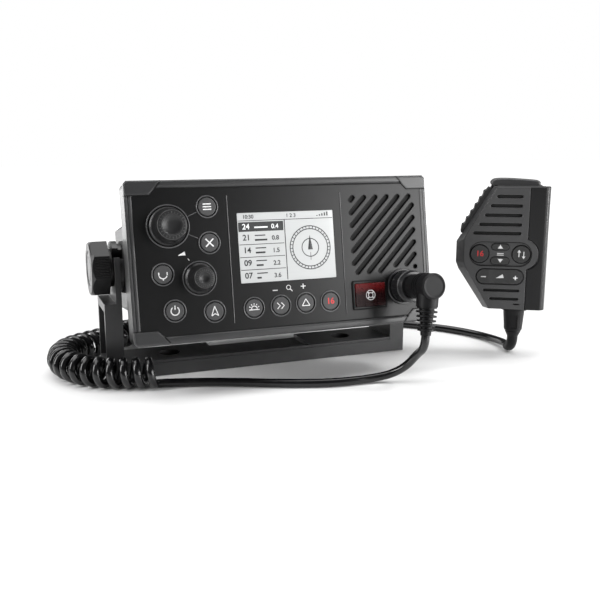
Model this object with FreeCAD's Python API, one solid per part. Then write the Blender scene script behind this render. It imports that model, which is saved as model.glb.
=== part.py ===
import FreeCAD, Part
import math
import os

# Fixed-mount VHF marine radio in its cradle bracket, with a fist microphone on a curly cord.
# Millimetres, +Z up, +Y to the rear. The origin lies on the surface that the bracket stands on,
# midway between its two fixing screws and straight under the tilt axis.

V = FreeCAD.Vector

# Bracket
arm_gap = 180.2            # between the inner faces of the two arms
arm_thick = 10.3
arm_depth = 32.2           # front to back
base_height = 10.1
hinge_height = 66.6        # tilt axis above the mounting surface
cheek_thick = 3.4          # upper part of each arm, where the clamp knob bears
cheek_foot = 47.0          # height at which the thick arm steps down to the cheek
slot_angle = 42.0          # open slot of the cheek, up from straight ahead
screw_spacing = 119.0
screw_hole_r = 2.7
screw_head_r = 6.7
screw_head_depth = 4.2
base_recess = 2.6          # lower middle of the base between the two screw pads
pad_length = 56.0

# Radio: local axes x right, y back, z up along the face, origin on the tilt axis
rest_tilt = 10.0           # face leans back
face_width = 184.0
face_height = 90.0
face_corner_r = 4.0
face_setback = 61.0        # front of the trims ahead of the tilt axis
panel_sink = 0.5           # panel behind the front of the trims
panel_thick = 2.6
skirt_depth = 12.0
skirt_wall = 2.6
trim_bar = 4.6             # height of the top and bottom trim bars
side_trim = 3.9
trim_thick = 3.5
seam_inner = 78.7          # corner cap seam, half width at the panel and at the outer edge
seam_outer = 71.5
cap_height = 8.0
fit_gap = 0.1              # bonded or clipped parts of one body
key_gap = 0.3              # moulded keys in their holes
shaft_gap = 0.05           # turning shafts in their bushes

# Housing
case_half = 80.0
case_flat = 26.0
case_top = 37.0
case_top_half = 64.0
case_back = 70.0           # rear wall behind the tilt axis
case_wall = 2.5
seal_thick = 0.8
flange_thick = 3.2
boss_r = 15.9
boss_reach = 84.0
washer_thick = 3.4
fin_count = 13
fin_pitch = 8.4
fin_thick = 2.0
fin_height = 40.0
fin_depth = 7.0

# Display
lcd_width = 59.0
lcd_height = 39.9
lcd_u = -0.4
lcd_v = 5.7

# Round keys of the panel: name, place across, place up
ring_r = 6.3
key_r = 5.1
key_proud = 0.6
key_travel = 0.8
key_flange = 0.9
panel_keys = (
    ("key_menu", -46.9, 29.7),
    ("key_cancel", -46.8, 9.7),
    ("key_call", -74.0, -6.4),
    ("key_power", -68.7, -26.7),
    ("key_nav", -46.4, -28.7),
    ("key_light", -23.3, -28.5),
    ("key_scan", -7.1, -28.4),
    ("key_watch", 8.4, -28.0),
    ("key_preset", 24.0, -28.1),
)

# Rotary knobs: place, ring radius, base radius, top radius, height over the panel, dimple radius
channel_knob = dict(u=-69.3, v=19.7, ring=12.0, base=10.6, top=7.8, rise=11.4, dimple=5.4)
volume_knob = dict(u=-53.6, v=-9.7, ring=9.7, base=8.6, top=5.4, rise=11.9, dimple=3.0)
knob_push = 0.8
knob_seat = 0.9            # how far the knob sits in its well
well_depth = 2.0
shaft_r = 3.0
encoder_size = 13.0

# Speaker grille, with slots at 45 degrees
grille_left = 41.2
grille_right = 82.4
grille_low = -12.2
grille_high = 32.4
slot_width = 2.7
slot_step = 7.55           # along u, from slot to slot
slot_first = 10.2          # u minus v of the first slot
slot_count = 11
speaker_u = 61.8
speaker_v = 10.6
speaker_r = 22.6

# Distress key and its spring-loaded cover
distress_u = 50.0
distress_v = -26.0
frame_width = 22.2
frame_height = 17.2
cover_width = 19.4
cover_height = 13.8
cover_thick = 1.0
distress_travel = 1.2

# Microphone socket and right-angle plug
socket_u = 73.0
socket_v = -22.7
socket_r = 11.0
socket_depth = 11.4
barrel_r = 7.0
barrel_bore = 5.7
nut_r = 9.6
nut_start = 1.4
nut_end = 14.0
neck_r = 7.3
grip_start = 22.5
elbow_r = 7.6
elbow_start = 28.4
elbow_end = 36.9
elbow_axis = 29.5
leg_r = 6.3
leg_length = 12.0
plug_lean = 7.0            # the leg swings this much towards the left
boot_length = 16.5
boot_ribs = 5

# Clamp knobs
clamp_r = 17.3
clamp_inner = 95.8
clamp_outer = 106.6
clamp_neck_r = 11.5
stud_r = 3.0
clamp_sides = 8
grip_grooves = 6

# Fist microphone: local axes x right, y back, z up from the surface, origin under the cord boot
mic_x = 164.5
mic_y = -52.1
mic_turn = -32.0
mic_low = 33.0
mic_high = 113.3
mic_right = 18.5
mic_front = -13.0
mic_split = -1.0
mic_back = 12.5
mic_wall = 2.0
mic_travel = 0.7

# Cord
cord_d = 5.0
cord_sides = 6
curl_outer = 18.6
curl_pitch = 7.4
curl_lift = 0.05

# Routes chosen along the cord, from the plug to the microphone
front_route = (
    (68.2, -91.4, 19.5),
    (64.6, -85.6, 11.0),
    (57.6, -79.6, 5.0),
    (47.5, -76.0, 2.8),
    (34.5, -75.8, 2.55),
    (19.0, -74.2, 2.55),
    (3.0, -68.9, 2.55),
    (-12.0, -62.3, 2.55),
    (-27.0, -55.0, 2.55),
    (-41.0, -48.8, 2.55),
)
curl_route = (
    (-76.0, -38.2),
    (-88.0, -35.0),
    (-101.5, -29.6),
    (-113.5, -20.0),
    (-122.0, -6.0),
    (-125.0, 10.0),
    (-122.0, 25.5),
    (-112.0, 37.0),
    (-98.0, 45.5),
    (-84.0, 56.0),
    (-72.0, 68.5),
    (-57.0, 78.5),
    (-40.0, 84.0),
)
rear_route = (
    (-2.0, 88.6, 2.55),
    (22.0, 89.6, 2.55),
    (50.0, 87.0, 2.55),
    (78.0, 79.2, 2.55),
    (104.0, 65.2, 2.55),
    (127.0, 47.6, 2.55),
    (146.0, 30.6, 2.55),
    (159.6, 12.4, 2.55),
    (167.6, -6.0, 2.6),
    (170.2, -21.0, 2.9),
)

os.makedirs("parts", exist_ok=True)
panel_y = -face_setback + panel_sink
panel_back = panel_y + panel_thick
skirt_front = -face_setback + trim_thick + fit_gap
skirt_back = skirt_front + skirt_depth
case_front = skirt_back + seal_thick


def save(name, shape):
    """Writes one sub-part and prints how many solids it holds."""
    assert shape.isValid(), name
    shape.exportStep("parts/" + name + ".step")
    print(name, len(shape.Solids), round(shape.Volume, 1))


def fuse(shapes):
    """One shape out of several that touch or overlap."""
    whole = shapes[0].multiFuse(shapes[1:]) if len(shapes) > 1 else shapes[0]
    return whole.removeSplitter()


def block(x0, x1, y0, y1, z0, z1):
    return Part.makeBox(x1 - x0, y1 - y0, z1 - z0, V(x0, y0, z0))


def rod(x, z, r, y0, y1):
    """Cylinder along y."""
    return Part.makeCylinder(r, y1 - y0, V(x, y0, z), V(0, 1, 0))


def tube(x, z, outer, inner, y0, y1):
    return rod(x, z, outer, y0, y1).cut(rod(x, z, inner, y0 - 1, y1 + 1))


def outline(points, y):
    """Closed wire through (x, z) points at a given y."""
    corners = [V(x, y, z) for x, z in points]
    return Part.makePolygon(corners + corners[:1])


def prism(points, y0, y1):
    return Part.Face(outline(points, y0)).extrude(V(0, y1 - y0, 0))


def pill(x0, x1, z0, z1, r, y0, y1):
    """Rounded rectangle in x and z, along y."""
    r = min(r, (x1 - x0) / 2, (z1 - z0) / 2)
    parts = [rod(x, z, r, y0, y1) for x in (x0 + r, x1 - r) for z in (z0 + r, z1 - r)]
    if x1 - x0 > 2 * r + 1e-6:
        parts.append(block(x0 + r, x1 - r, y0, y1, z0, z1))
    if z1 - z0 > 2 * r + 1e-6:
        parts.append(block(x0, x1, y0, y1, z0 + r, z1 - r))
    return fuse(parts)


def stadium(xa, za, xb, zb, width, y0, y1):
    """Slot with round ends between two centres."""
    length = math.hypot(xb - xa, zb - za)
    bar = block(0, length, y0, y1, -width / 2, width / 2)
    bar.rotate(V(0, 0, 0), V(0, 1, 0), -math.degrees(math.atan2(zb - za, xb - xa)))
    bar.translate(V(xa, 0, za))
    return fuse([bar, rod(xa, za, width / 2, y0, y1), rod(xb, zb, width / 2, y0, y1)])


def turned(x, z, profile):
    """Solid of revolution about a line along y; the profile lists (radius, y)."""
    corners = [V(x + r, y, z) for r, y in profile]
    face = Part.Face(Part.makePolygon(corners + corners[:1]))
    return face.revolve(V(x, 0, z), V(0, 1, 0), 360)


def mirrored(shape):
    return shape.mirror(V(0, 0, 0), V(1, 0, 0))


def edges_where(shape, test):
    return [e for e in shape.Edges if test(e)]


def rounded(shape, radius, test):
    """Fillets the edges that pass the test."""
    return shape.makeFillet(radius, edges_where(shape, test))


def in_radio(shape):
    """Moves a shape from the radio's own axes to its place, leaning back on the tilt axis."""
    placed = shape.copy()
    placed.rotate(V(0, 0, 0), V(1, 0, 0), -rest_tilt)
    placed.translate(V(0, 0, hinge_height))
    return placed


def at_mic(shape):
    """Moves a shape from the microphone's own axes to its place."""
    placed = shape.copy()
    placed.rotate(V(0, 0, 0), V(0, 0, 1), mic_turn)
    placed.translate(V(mic_x, mic_y, 0))
    return placed


def radio_point(x, y, z):
    turn = FreeCAD.Rotation(V(1, 0, 0), -rest_tilt)
    return turn.multVec(V(x, y, z)) + V(0, 0, hinge_height)


def mic_point(x, y, z):
    turn = FreeCAD.Rotation(V(0, 0, 1), mic_turn)
    return turn.multVec(V(x, y, z)) + V(mic_x, mic_y, 0)


# Bracket: one casting with a base bar, two thick arms and a thin slotted cheek on each arm
def bracket():
    half = arm_gap / 2 + arm_thick
    front = -arm_depth / 2
    back = arm_depth / 2
    base = block(-half, half, front, back, 0, base_height)
    base = base.cut(block(-screw_spacing / 2 + pad_length / 2, screw_spacing / 2 - pad_length / 2,
                          front + 3.0, back + 1, base_height - base_recess, base_height + 1))
    lip = block(-half - 1, half + 1, front - 1, front + 0.6, base_height - 2.0, base_height - 1.2)
    pieces = [base.cut(lip)]
    for side in (-1, 1):
        inner = arm_gap / 2
        arm = block(inner, half, front, back, 0, cheek_foot)
        arm = arm.cut(block(inner + cheek_thick + 3.2, half + 1, front + 3.2, back - 3.2, base_height, cheek_foot - 5))
        cheek = block(inner, inner + cheek_thick, front, back, 0, hinge_height)
        cheek = cheek.fuse(Part.makeCylinder(arm_depth / 2, cheek_thick, V(inner, 0, hinge_height), V(1, 0, 0)))
        collar = Part.makeCylinder(boss_r - 1.5, arm_gap / 2 - boss_reach - washer_thick - 0.2,
                                   V(boss_reach + washer_thick + 0.2, 0, hinge_height), V(1, 0, 0))
        wall = fuse([arm, cheek, collar])
        slot = block(0, half + 5, -arm_depth, 0, -stud_r - 0.3, stud_r + 0.3)
        slot = slot.fuse(Part.makeCylinder(stud_r + 0.3, half + 5, V(0, 0, 0), V(1, 0, 0)))
        slot.rotate(V(0, 0, 0), V(1, 0, 0), -slot_angle)
        slot.translate(V(0, 0, hinge_height))
        wall = wall.cut(slot)
        pieces.append(wall if side > 0 else mirrored(wall))
    body = fuse(pieces)
    for side in (-1, 1):
        x = side * screw_spacing / 2
        body = body.cut(Part.makeCylinder(screw_hole_r, base_height + 2, V(x, 0, -1)))
        body = body.cut(Part.makeCylinder(screw_head_r, screw_head_depth + 1, V(x, 0, base_height - screw_head_depth)))
    return body


# Front moulding: panel, skirt, rims round the keys and knobs, grille slots
def grille_slots(y0, y1):
    slots = []
    for i in range(slot_count):
        c = slot_first + i * slot_step
        low_u = max(grille_left, grille_low + c)
        high_u = min(grille_right, grille_high + c)
        while math.hypot(low_u - socket_u, low_u - c - socket_v) < socket_r + slot_width / 2 + 1.6:
            low_u += 0.1
        slots.append(stadium(low_u, low_u - c, high_u, high_u - c, slot_width, y0, y1))
    dot = slot_first + slot_count * slot_step
    slots.append(rod(grille_right, grille_right - dot, slot_width / 2, y0, y1))
    return slots


def rim(u, v, r, width, height=0.45):
    return tube(u, v, r, r - width, panel_y - height, panel_y + 0.2)


def fascia():
    half_w = face_width / 2
    half_h = face_height / 2
    skirt = pill(-half_w, half_w, -half_h, half_h, face_corner_r, skirt_front, skirt_back)
    side = half_w - side_trim - fit_gap
    top = half_h - trim_bar - fit_gap
    cap = half_h - cap_height - fit_gap
    corner = seam_inner - fit_gap
    inset = corner - (top - cap)
    plate = prism([(-side, -cap), (-corner, -cap), (-inset, -top), (inset, -top), (corner, -cap), (side, -cap),
                   (side, cap), (corner, cap), (inset, top), (-inset, top), (-corner, cap), (-side, cap)],
                  panel_y, skirt_front + 0.5)
    hollow = pill(-half_w + skirt_wall, half_w - skirt_wall, -half_h + skirt_wall, half_h - skirt_wall,
                  face_corner_r - 1.5, skirt_front + 1.6, skirt_back + 1)
    pocket = prism([(-side + 1.2, -cap + 1.2), (-inset, -top + 1.2), (inset, -top + 1.2), (side - 1.2, -cap + 1.2),
                    (side - 1.2, cap - 1.2), (inset, top - 1.2), (-inset, top - 1.2), (-side + 1.2, cap - 1.2)],
                   panel_back, skirt_front + 2)
    body = fuse([skirt, plate]).cut(fuse([hollow, pocket]))
    frame = pill(distress_u - frame_width / 2, distress_u + frame_width / 2, distress_v - frame_height / 2,
                 distress_v + frame_height / 2, 1.5, panel_y - 0.8, panel_back + 3.0)
    rims = [rim(u, v, ring_r, 0.5) for _, u, v in panel_keys]
    rims += [rim(k["u"], k["v"], k["ring"], 0.7) for k in (channel_knob, volume_knob)]
    for u in (-35.3, 34.2):
        rims.append(block(u - 0.25, u + 0.25, panel_y - 0.25, panel_y + 0.2, -36.0, 35.9))
    lead = channel_knob["ring"] + 0.2
    for u, v in ((-46.9, 29.7), (-46.8, 9.7)):
        away = math.atan2(v - channel_knob["v"], u - channel_knob["u"])
        far = math.hypot(v - channel_knob["v"], u - channel_knob["u"]) - ring_r - 0.4
        rims.append(stadium(channel_knob["u"] + lead * math.cos(away), channel_knob["v"] + lead * math.sin(away),
                            channel_knob["u"] + far * math.cos(away), channel_knob["v"] + far * math.sin(away),
                            0.5, panel_y - 0.25, panel_y + 0.2))
    body = fuse([body, frame] + rims)
    far = panel_back + 5
    cuts = grille_slots(panel_y - 1, far)
    cuts += [rod(u, v, key_r + key_gap, panel_y - 1, far) for _, u, v in panel_keys]
    cuts += [rod(k["u"], k["v"], k["base"] + key_gap, panel_y - 1, panel_y + well_depth)
             for k in (channel_knob, volume_knob)]
    cuts += [rod(k["u"], k["v"], shaft_r + 0.5, panel_y - 1, far) for k in (channel_knob, volume_knob)]
    cuts.append(pill(lcd_u - lcd_width / 2, lcd_u + lcd_width / 2, lcd_v - lcd_height / 2,
                     lcd_v + lcd_height / 2, 0.6, panel_y - 1, far))
    cuts.append(pill(distress_u - cover_width / 2 - key_gap, distress_u + cover_width / 2 + key_gap,
                     distress_v - cover_height / 2 - key_gap, distress_v + cover_height / 2 + key_gap,
                     0.8, panel_y - 2, far))
    cuts.append(rod(socket_u, socket_v, socket_r - 1.6, panel_y - 1, far))
    return body.cut(fuse(cuts))


def trims():
    """Top and bottom bars, two side strips and four corner caps round the panel."""
    half_w = face_width / 2
    half_h = face_height / 2
    front = -face_setback
    back = front + trim_thick
    top = half_h - trim_bar
    cap = half_h - cap_height
    inset = seam_inner - (top - cap)
    slope = (seam_inner - seam_outer) / cap_height
    outer = seam_inner - cap_height * slope
    bar = prism([(-inset + fit_gap, top), (inset - fit_gap, top), (outer - fit_gap, half_h),
                 (-outer + fit_gap, half_h)], front - 0.4, back)
    bar = rounded(bar, 1.5, lambda e: abs(e.CenterOfMass.y - front + 0.4) < 0.01 and abs(e.CenterOfMass.x) < 0.01)
    strip = block(half_w - side_trim, half_w, front + 0.3, back, -cap + fit_gap, cap - fit_gap)
    strip = strip.cut(block(half_w - side_trim / 2 - 0.25, half_w - side_trim / 2 + 0.25, front, front + 0.8, -cap, cap))
    strip = strip.cut(block(half_w - side_trim / 2, half_w + 1, front, front + 0.6, -cap, cap))
    cap_shape = prism([(outer + fit_gap, half_h), (inset + fit_gap, top), (seam_inner, cap), (half_w, cap),
                       (half_w, half_h - 1.6), (half_w - 1.6, half_h)], front - 0.2, back)
    cap_shape = rounded(cap_shape, 1.2, lambda e: abs(e.CenterOfMass.y - front + 0.2) < 0.01
                        and (e.CenterOfMass.z > half_h - 1 or e.CenterOfMass.x > half_w - 1))
    flipped = bar.mirror(V(0, 0, 0), V(0, 0, 1))
    caps = [cap_shape, mirrored(cap_shape)]
    caps += [c.mirror(V(0, 0, 0), V(0, 0, 1)) for c in caps]
    return bar, flipped, Part.makeCompound([strip, mirrored(strip)]), Part.makeCompound(caps)


def panel_key(u, v):
    head = rod(u, v, key_r, panel_y - key_proud, panel_back + 0.1)
    head = rounded(head, 0.5, lambda e: abs(e.CenterOfMass.y - panel_y + key_proud) < 0.01)
    flange = rod(u, v, ring_r, panel_back + 0.1, panel_back + 0.1 + key_flange)
    stem = rod(u, v, 2.2, panel_back + key_flange, panel_back + key_flange + 1.0)
    return fuse([head, flange, stem])


def rotary_knob(k):
    """Flared knob with a dished top, bored for its shaft."""
    tip = panel_y - k["rise"]
    base = panel_y + knob_seat
    waist = k["top"] + 0.55 * (k["base"] - k["top"])
    profile = [(shaft_r + shaft_gap, base), (k["base"], base), (k["base"], base - 1.6),
               (k["base"] - 0.5, base - 2.1), (waist, base - 3.4), (k["top"] + 0.5, tip + 3.0),
               (k["top"] + 0.5, tip + 1.0), (k["top"] - 0.4, tip), (k["dimple"], tip),
               (k["dimple"] * 0.72, tip + 0.55), (k["dimple"] * 0.36, tip + 0.85), (0, tip + 0.95),
               (0, tip + 2.6), (shaft_r + shaft_gap, tip + 2.6)]
    return turned(k["u"], k["v"], profile)


def knob_shaft(k):
    return rod(k["u"], k["v"], shaft_r, panel_y - k["rise"] + 2.65, panel_back + 7.5)


def encoders():
    units = []
    half = encoder_size / 2
    for k in (channel_knob, volume_knob):
        u, v = k["u"], k["v"]
        y0 = panel_back + 2.6
        body = block(u - half, u + half, y0, y0 + 6.5, v - half, v + half)
        bush = rod(u, v, shaft_r + 1.6, panel_back + 0.3, y0 + 1)
        unit = fuse([body, bush]).cut(rod(u, v, shaft_r + shaft_gap, panel_back - 1, y0 + 5.8))
        units.append(unit)
    return Part.makeCompound(units)


def lcd_window():
    front = pill(lcd_u - lcd_width / 2 + fit_gap, lcd_u + lcd_width / 2 - fit_gap,
                 lcd_v - lcd_height / 2 + fit_gap, lcd_v + lcd_height / 2 - fit_gap, 0.5,
                 panel_y + 0.15, panel_back + fit_gap)
    back = pill(lcd_u - lcd_width / 2 - 2.4, lcd_u + lcd_width / 2 + 2.4, lcd_v - lcd_height / 2 - 2.4,
                lcd_v + lcd_height / 2 + 2.4, 1.0, panel_back + fit_gap, panel_back + fit_gap + 1.0)
    return fuse([front, back])


def lcd_module():
    y0 = panel_back + fit_gap + 1.1
    frame = block(lcd_u - 34, lcd_u + 34, y0, y0 + 4.6, lcd_v - 23.4, lcd_v + 23.4)
    ribbon = block(lcd_u - 12, lcd_u + 12, y0 + 3.0, y0 + 5.2, lcd_v - 27.0, lcd_v - 23.4)
    return fuse([frame, ribbon])


def keypad_mat():
    """Silicone sheet with one dome under each key."""
    y0 = panel_back + key_flange + 2.4
    left = pill(-82, -38, -36, 37, 3, y0, y0 + 0.8)
    low = pill(-42, 32, -36, -20.5, 3, y0, y0 + 0.8)
    sheet = fuse([left, low])
    holes = [rod(k["u"], k["v"], encoder_size * 0.8, y0 - 1, y0 + 2) for k in (channel_knob, volume_knob)]
    sheet = sheet.cut(fuse(holes))
    domes = [turned(u, v, [(0, y0 - 0.5), (2.4, y0 - 0.5), (3.6, y0 + 0.1), (0, y0 + 0.1)]) for _, u, v in panel_keys]
    return fuse([sheet] + domes)


board_y = panel_back + 9.6


def main_board():
    board = block(-84, 84, board_y, board_y + 1.6, -38, 38)
    board = board.cut(rod(speaker_u, speaker_v, 14.0, board_y - 1, board_y + 3))
    shield = block(-30, 20, board_y + 1.6, board_y + 9.6, -24, 20)
    relay = block(-66, -46, board_y + 1.6, board_y + 12.6, -14, 6)
    coil = block(-40, -34, board_y + 1.6, board_y + 8.6, 10, 24)
    return fuse([board, shield, relay, coil])


def speaker():
    y0 = panel_back + 0.9
    profile = [(0, y0 + 1.6), (speaker_r * 0.35, y0 + 2.2), (speaker_r * 0.88, y0), (speaker_r, y0),
               (speaker_r, y0 + 2.6), (speaker_r * 0.86, y0 + 2.8), (speaker_r * 0.6, y0 + 8.0),
               (12.4, y0 + 8.0), (12.4, y0 + 16.0), (0, y0 + 16.0)]
    return turned(speaker_u, speaker_v, profile)


def speaker_cloth():
    return pill(grille_left - 2.4, grille_right + 2.4, grille_low + 1.6, grille_high + 2.6, 3.0,
                panel_back + fit_gap, panel_back + fit_gap + 0.4).cut(
        rod(socket_u, socket_v, socket_r + 1.0, panel_back - 1, panel_back + 3))


def case_outline(grow=0.0):
    wide = case_half + grow
    flat = case_flat + grow * 0.35
    top = case_top + grow
    narrow = case_top_half + grow * 0.35
    return [(-wide, -flat), (-narrow, -top), (narrow, -top), (wide, -flat),
            (wide, flat), (narrow, top), (-narrow, top), (-wide, flat)]


def front_seal():
    ring = pill(-face_width / 2 + 1.4, face_width / 2 - 1.4, -face_height / 2 + 1.4, face_height / 2 - 1.4, 3.0,
                skirt_back, case_front)
    return ring.cut(prism(case_outline(-case_wall), skirt_back - 1, case_front + 1))


def rear_housing():
    """Die-cast case: flange, faceted body, vertical fins on the back, clamp bosses on the sides."""
    flange = pill(-face_width / 2 + 1.4, face_width / 2 - 1.4, -face_height / 2 + 1.4, face_height / 2 - 1.4, 3.0,
                  case_front, case_front + flange_thick)
    body = prism(case_outline(), case_front, case_back)
    body = rounded(body, 2.0, lambda e: abs(e.CenterOfMass.y - case_back) < 0.01)
    shell = fuse([flange, body]).cut(prism(case_outline(-case_wall), case_front - 1, case_back - 2 * case_wall))
    bosses = []
    for side in (-1, 1):
        start = case_half - 4.0
        boss = Part.makeCylinder(boss_r, boss_reach - start, V(start, 0, 0), V(1, 0, 0))
        inner = Part.makeCylinder(8.0, 12.0, V(start - 12.0, 0, 0), V(1, 0, 0))
        bore = Part.makeCylinder(stud_r + shaft_gap, 20.0, V(start - 8.0, 0, 0), V(1, 0, 0))
        boss = fuse([boss, inner]).cut(bore)
        bosses.append((boss if side > 0 else mirrored(boss), bore if side > 0 else mirrored(bore)))
    shell = fuse([shell] + [b for b, _ in bosses]).cut(fuse([b for _, b in bosses]))
    fins = []
    for i in range(fin_count):
        x = (i - (fin_count - 1) / 2) * fin_pitch
        fins.append(block(x - fin_thick / 2, x + fin_thick / 2, case_back - 1, case_back + fin_depth,
                          -fin_height / 2 + 9, fin_height / 2 + 9))
    for i in range(5):
        x = (i - 2) * 24.0
        fins.append(block(x - 1.2, x + 1.2, -20, case_back - 8, case_top - 1, case_top + 1.4))
        fins.append(block(x - 1.2, x + 1.2, -20, case_back - 8, -case_top - 1.4, -case_top + 1))
    shell = fuse([shell] + fins)
    panel = pill(-62, 62, -29, -14.4, 2.0, case_back - 1.2, case_back + 1)
    shell = shell.cut(panel)
    ports = [rod(u, -21.7, 5.0, case_back - 8, case_back + 1) for u in accessory_places]
    ports.append(rod(antenna_u, -21.7, 5.6, case_back - 8, case_back + 1))
    return shell.cut(fuse(ports))


accessory_places = (-6.0, 16.0, 38.0)
antenna_u = -42.0


def antenna_socket():
    y0 = case_back - 1.2
    plate = turned(antenna_u, -21.7, [(0, y0 - 5), (5.4, y0 - 5), (5.4, y0), (7.0, y0), (7.0, y0 + 2.0),
                                      (6.0, y0 + 2.4), (6.0, y0 + 14.0), (4.6, y0 + 14.0), (4.6, y0 + 5.0),
                                      (2.0, y0 + 5.0), (2.0, y0 + 12.0), (0, y0 + 12.0)])
    return plate


def accessory_sockets():
    y0 = case_back - 1.2
    units = []
    for u in accessory_places:
        units.append(turned(u, -21.7, [(0, y0 - 6), (4.8, y0 - 6), (4.8, y0), (6.4, y0), (6.4, y0 + 1.6), (5.4, y0 + 1.8),
                                       (5.4, y0 + 8.0), (4.2, y0 + 8.0), (4.2, y0 + 1.0), (0, y0 + 1.0)]))
    return Part.makeCompound(units)


def housing_screws():
    """Six screws that hold the front moulding to the case flange, driven from behind."""
    y0 = case_front + flange_thick
    units = []
    for u in (-seam_outer, 0, seam_outer):
        for v in (-1, 1):
            z = v * (case_top + 4.0)
            units.append(turned(u, z, [(0, y0), (2.6, y0), (2.6, y0 + 1.2), (1.8, y0 + 1.9), (0, y0 + 1.9)]))
    return Part.makeCompound(units)


def friction_washers():
    washer = Part.makeCylinder(boss_r, washer_thick, V(boss_reach, 0, 0), V(1, 0, 0))
    washer = washer.cut(Part.makeCylinder(stud_r + 0.3, washer_thick + 2, V(boss_reach - 1, 0, 0), V(1, 0, 0)))
    return Part.makeCompound([washer, mirrored(washer)])


def clamp_knob():
    """Eight-sided knob: grooved and plain panels by turns, a dished end and a threaded stud."""
    points = []
    for i in range(clamp_sides):
        turn = 2 * math.pi * (i + 0.5) / clamp_sides
        points.append(V(clamp_inner, clamp_r * math.cos(turn), clamp_r * math.sin(turn)))
    body = Part.Face(Part.makePolygon(points + points[:1])).extrude(V(clamp_outer - clamp_inner, 0, 0))
    body = body.common(Part.makeCone(clamp_r + 7.4, clamp_r - 1.8, clamp_outer - clamp_inner,
                                     V(clamp_inner, 0, 0), V(1, 0, 0)))
    flat = clamp_r * math.cos(math.pi / clamp_sides)
    cuts = []
    for side in range(0, clamp_sides, 2):
        for i in range(grip_grooves):
            z = (i - (grip_grooves - 1) / 2) * 1.9
            groove = block(clamp_inner - 1, clamp_outer - 2.4, flat - 0.5, flat + 2, z - 0.45, z + 0.45)
            groove.rotate(V(0, 0, 0), V(1, 0, 0), 360.0 * side / clamp_sides)
            cuts.append(groove)
    dish = Part.makeCone(10.0, 11.2, 0.8, V(clamp_outer - 0.8, 0, 0), V(1, 0, 0))
    neck_end = arm_gap / 2 + cheek_thick + fit_gap
    neck = Part.makeCylinder(clamp_neck_r, clamp_inner - neck_end, V(neck_end, 0, 0), V(1, 0, 0))
    stud = Part.makeCylinder(stud_r, clamp_inner - 73.0, V(73.0, 0, 0), V(1, 0, 0))
    return fuse([body.cut(fuse(cuts + [dish])), neck, stud])


# Microphone socket and plug, along the normal of the face; n is the height over the trims
def normal(n):
    return -face_setback - n


def mic_socket():
    flange = turned(socket_u, socket_v, [
        (0, normal(-socket_depth)), (8.4, normal(-socket_depth)), (8.4, panel_y - 0.1), (socket_r, panel_y - 0.1), (socket_r, normal(0.7)),
        (socket_r - 0.5, normal(1.1)), (socket_r - 1.1, normal(1.1)), (socket_r - 1.6, normal(0.4)),
        (barrel_r, normal(0.4)), (barrel_r, normal(8.0)), (barrel_bore, normal(8.0)), (barrel_bore, normal(0.4)),
        (0, normal(0.4))])
    return flange


def coupling_ring():
    profile = [(barrel_r + shaft_gap, normal(nut_start)), (nut_r - 0.6, normal(nut_start)),
               (nut_r, normal(nut_start + 0.6)), (nut_r, normal(9.6)), (nut_r - 0.5, normal(10.2)),
               (nut_r - 0.5, normal(11.0)), (nut_r, normal(11.6)), (nut_r - 0.9, normal(nut_end)),
               (neck_r - 1.3, normal(nut_end)), (neck_r - 1.3, normal(12.8)), (barrel_r + shaft_gap, normal(12.8))]
    nut = turned(socket_u, socket_v, profile)
    notches = []
    for i in range(12):
        turn = 2 * math.pi * i / 12
        notches.append(rod(socket_u + (nut_r + 0.5) * math.cos(turn), socket_v + (nut_r + 0.5) * math.sin(turn),
                           0.9, normal(9.0), normal(2.4)))
    return nut.cut(fuse(notches))


def lean(shape):
    """Turns a plug piece about the plug's axis, so that its leg swings to the left."""
    leaned = shape.copy()
    leaned.rotate(V(socket_u, 0, socket_v), V(0, 1, 0), plug_lean)
    return leaned


def plug_body():
    profile = [(0, normal(2.0)), (barrel_bore - 0.1, normal(2.0)), (barrel_bore - 0.1, normal(8.3)),
               (barrel_r - 0.1, normal(8.3)), (barrel_r - 0.1, normal(12.4)), (neck_r - 1.5, normal(12.4)),
               (neck_r - 1.5, normal(nut_end + 0.3)), (neck_r - 0.4, normal(nut_end + 0.3)), (neck_r, normal(nut_end + 0.8)),
               (neck_r, normal(grip_start))]
    n = grip_start
    for i in range(3):
        profile += [(neck_r + 0.6, normal(n + 0.3)), (neck_r + 0.6, normal(n + 1.4)), (neck_r - 0.2, normal(n + 1.7)),
                    (neck_r - 0.2, normal(n + 2.0))]
        n += 2.0
    profile += [(elbow_r, normal(elbow_start + 0.3)), (elbow_r, normal(elbow_end - 0.9)),
                (elbow_r - 0.9, normal(elbow_end)), (elbow_r - 2.0, normal(elbow_end - 0.25)), (0, normal(elbow_end - 0.25))]
    barrel = turned(socket_u, socket_v, profile)
    leg = Part.makeCone(leg_r + 0.3, leg_r, leg_length, V(socket_u, normal(elbow_axis), socket_v), V(0, 0, -1))
    return lean(fuse([barrel, leg]))


def plug_boot():
    """Ribbed strain relief under the plug's leg."""
    top = socket_v - leg_length
    centre = normal(elbow_axis)
    corners = [(0, top), (leg_r - 0.6, top), (leg_r - 0.6, top - 0.8)]
    pitch = (boot_length - 3.2) / boot_ribs
    z = top - 0.8
    for i in range(boot_ribs):
        big = leg_r - 0.1 - 0.32 * i
        small = leg_r - 1.9 - 0.3 * i
        corners += [(small, z), (small, z - pitch * 0.4), (big, z - pitch * 0.5), (big, z - pitch * 0.9), (small, z - pitch)]
        z -= pitch
    corners += [(cord_d / 2 + 0.7, z - 0.2), (cord_d / 2 + 0.5, top - boot_length), (0, top - boot_length)]
    points = [V(socket_u + r, centre, z) for r, z in corners]
    face = Part.Face(Part.makePolygon(points + points[:1]))
    return lean(face.revolve(V(socket_u, centre, 0), V(0, 0, 1), 360))


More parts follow.
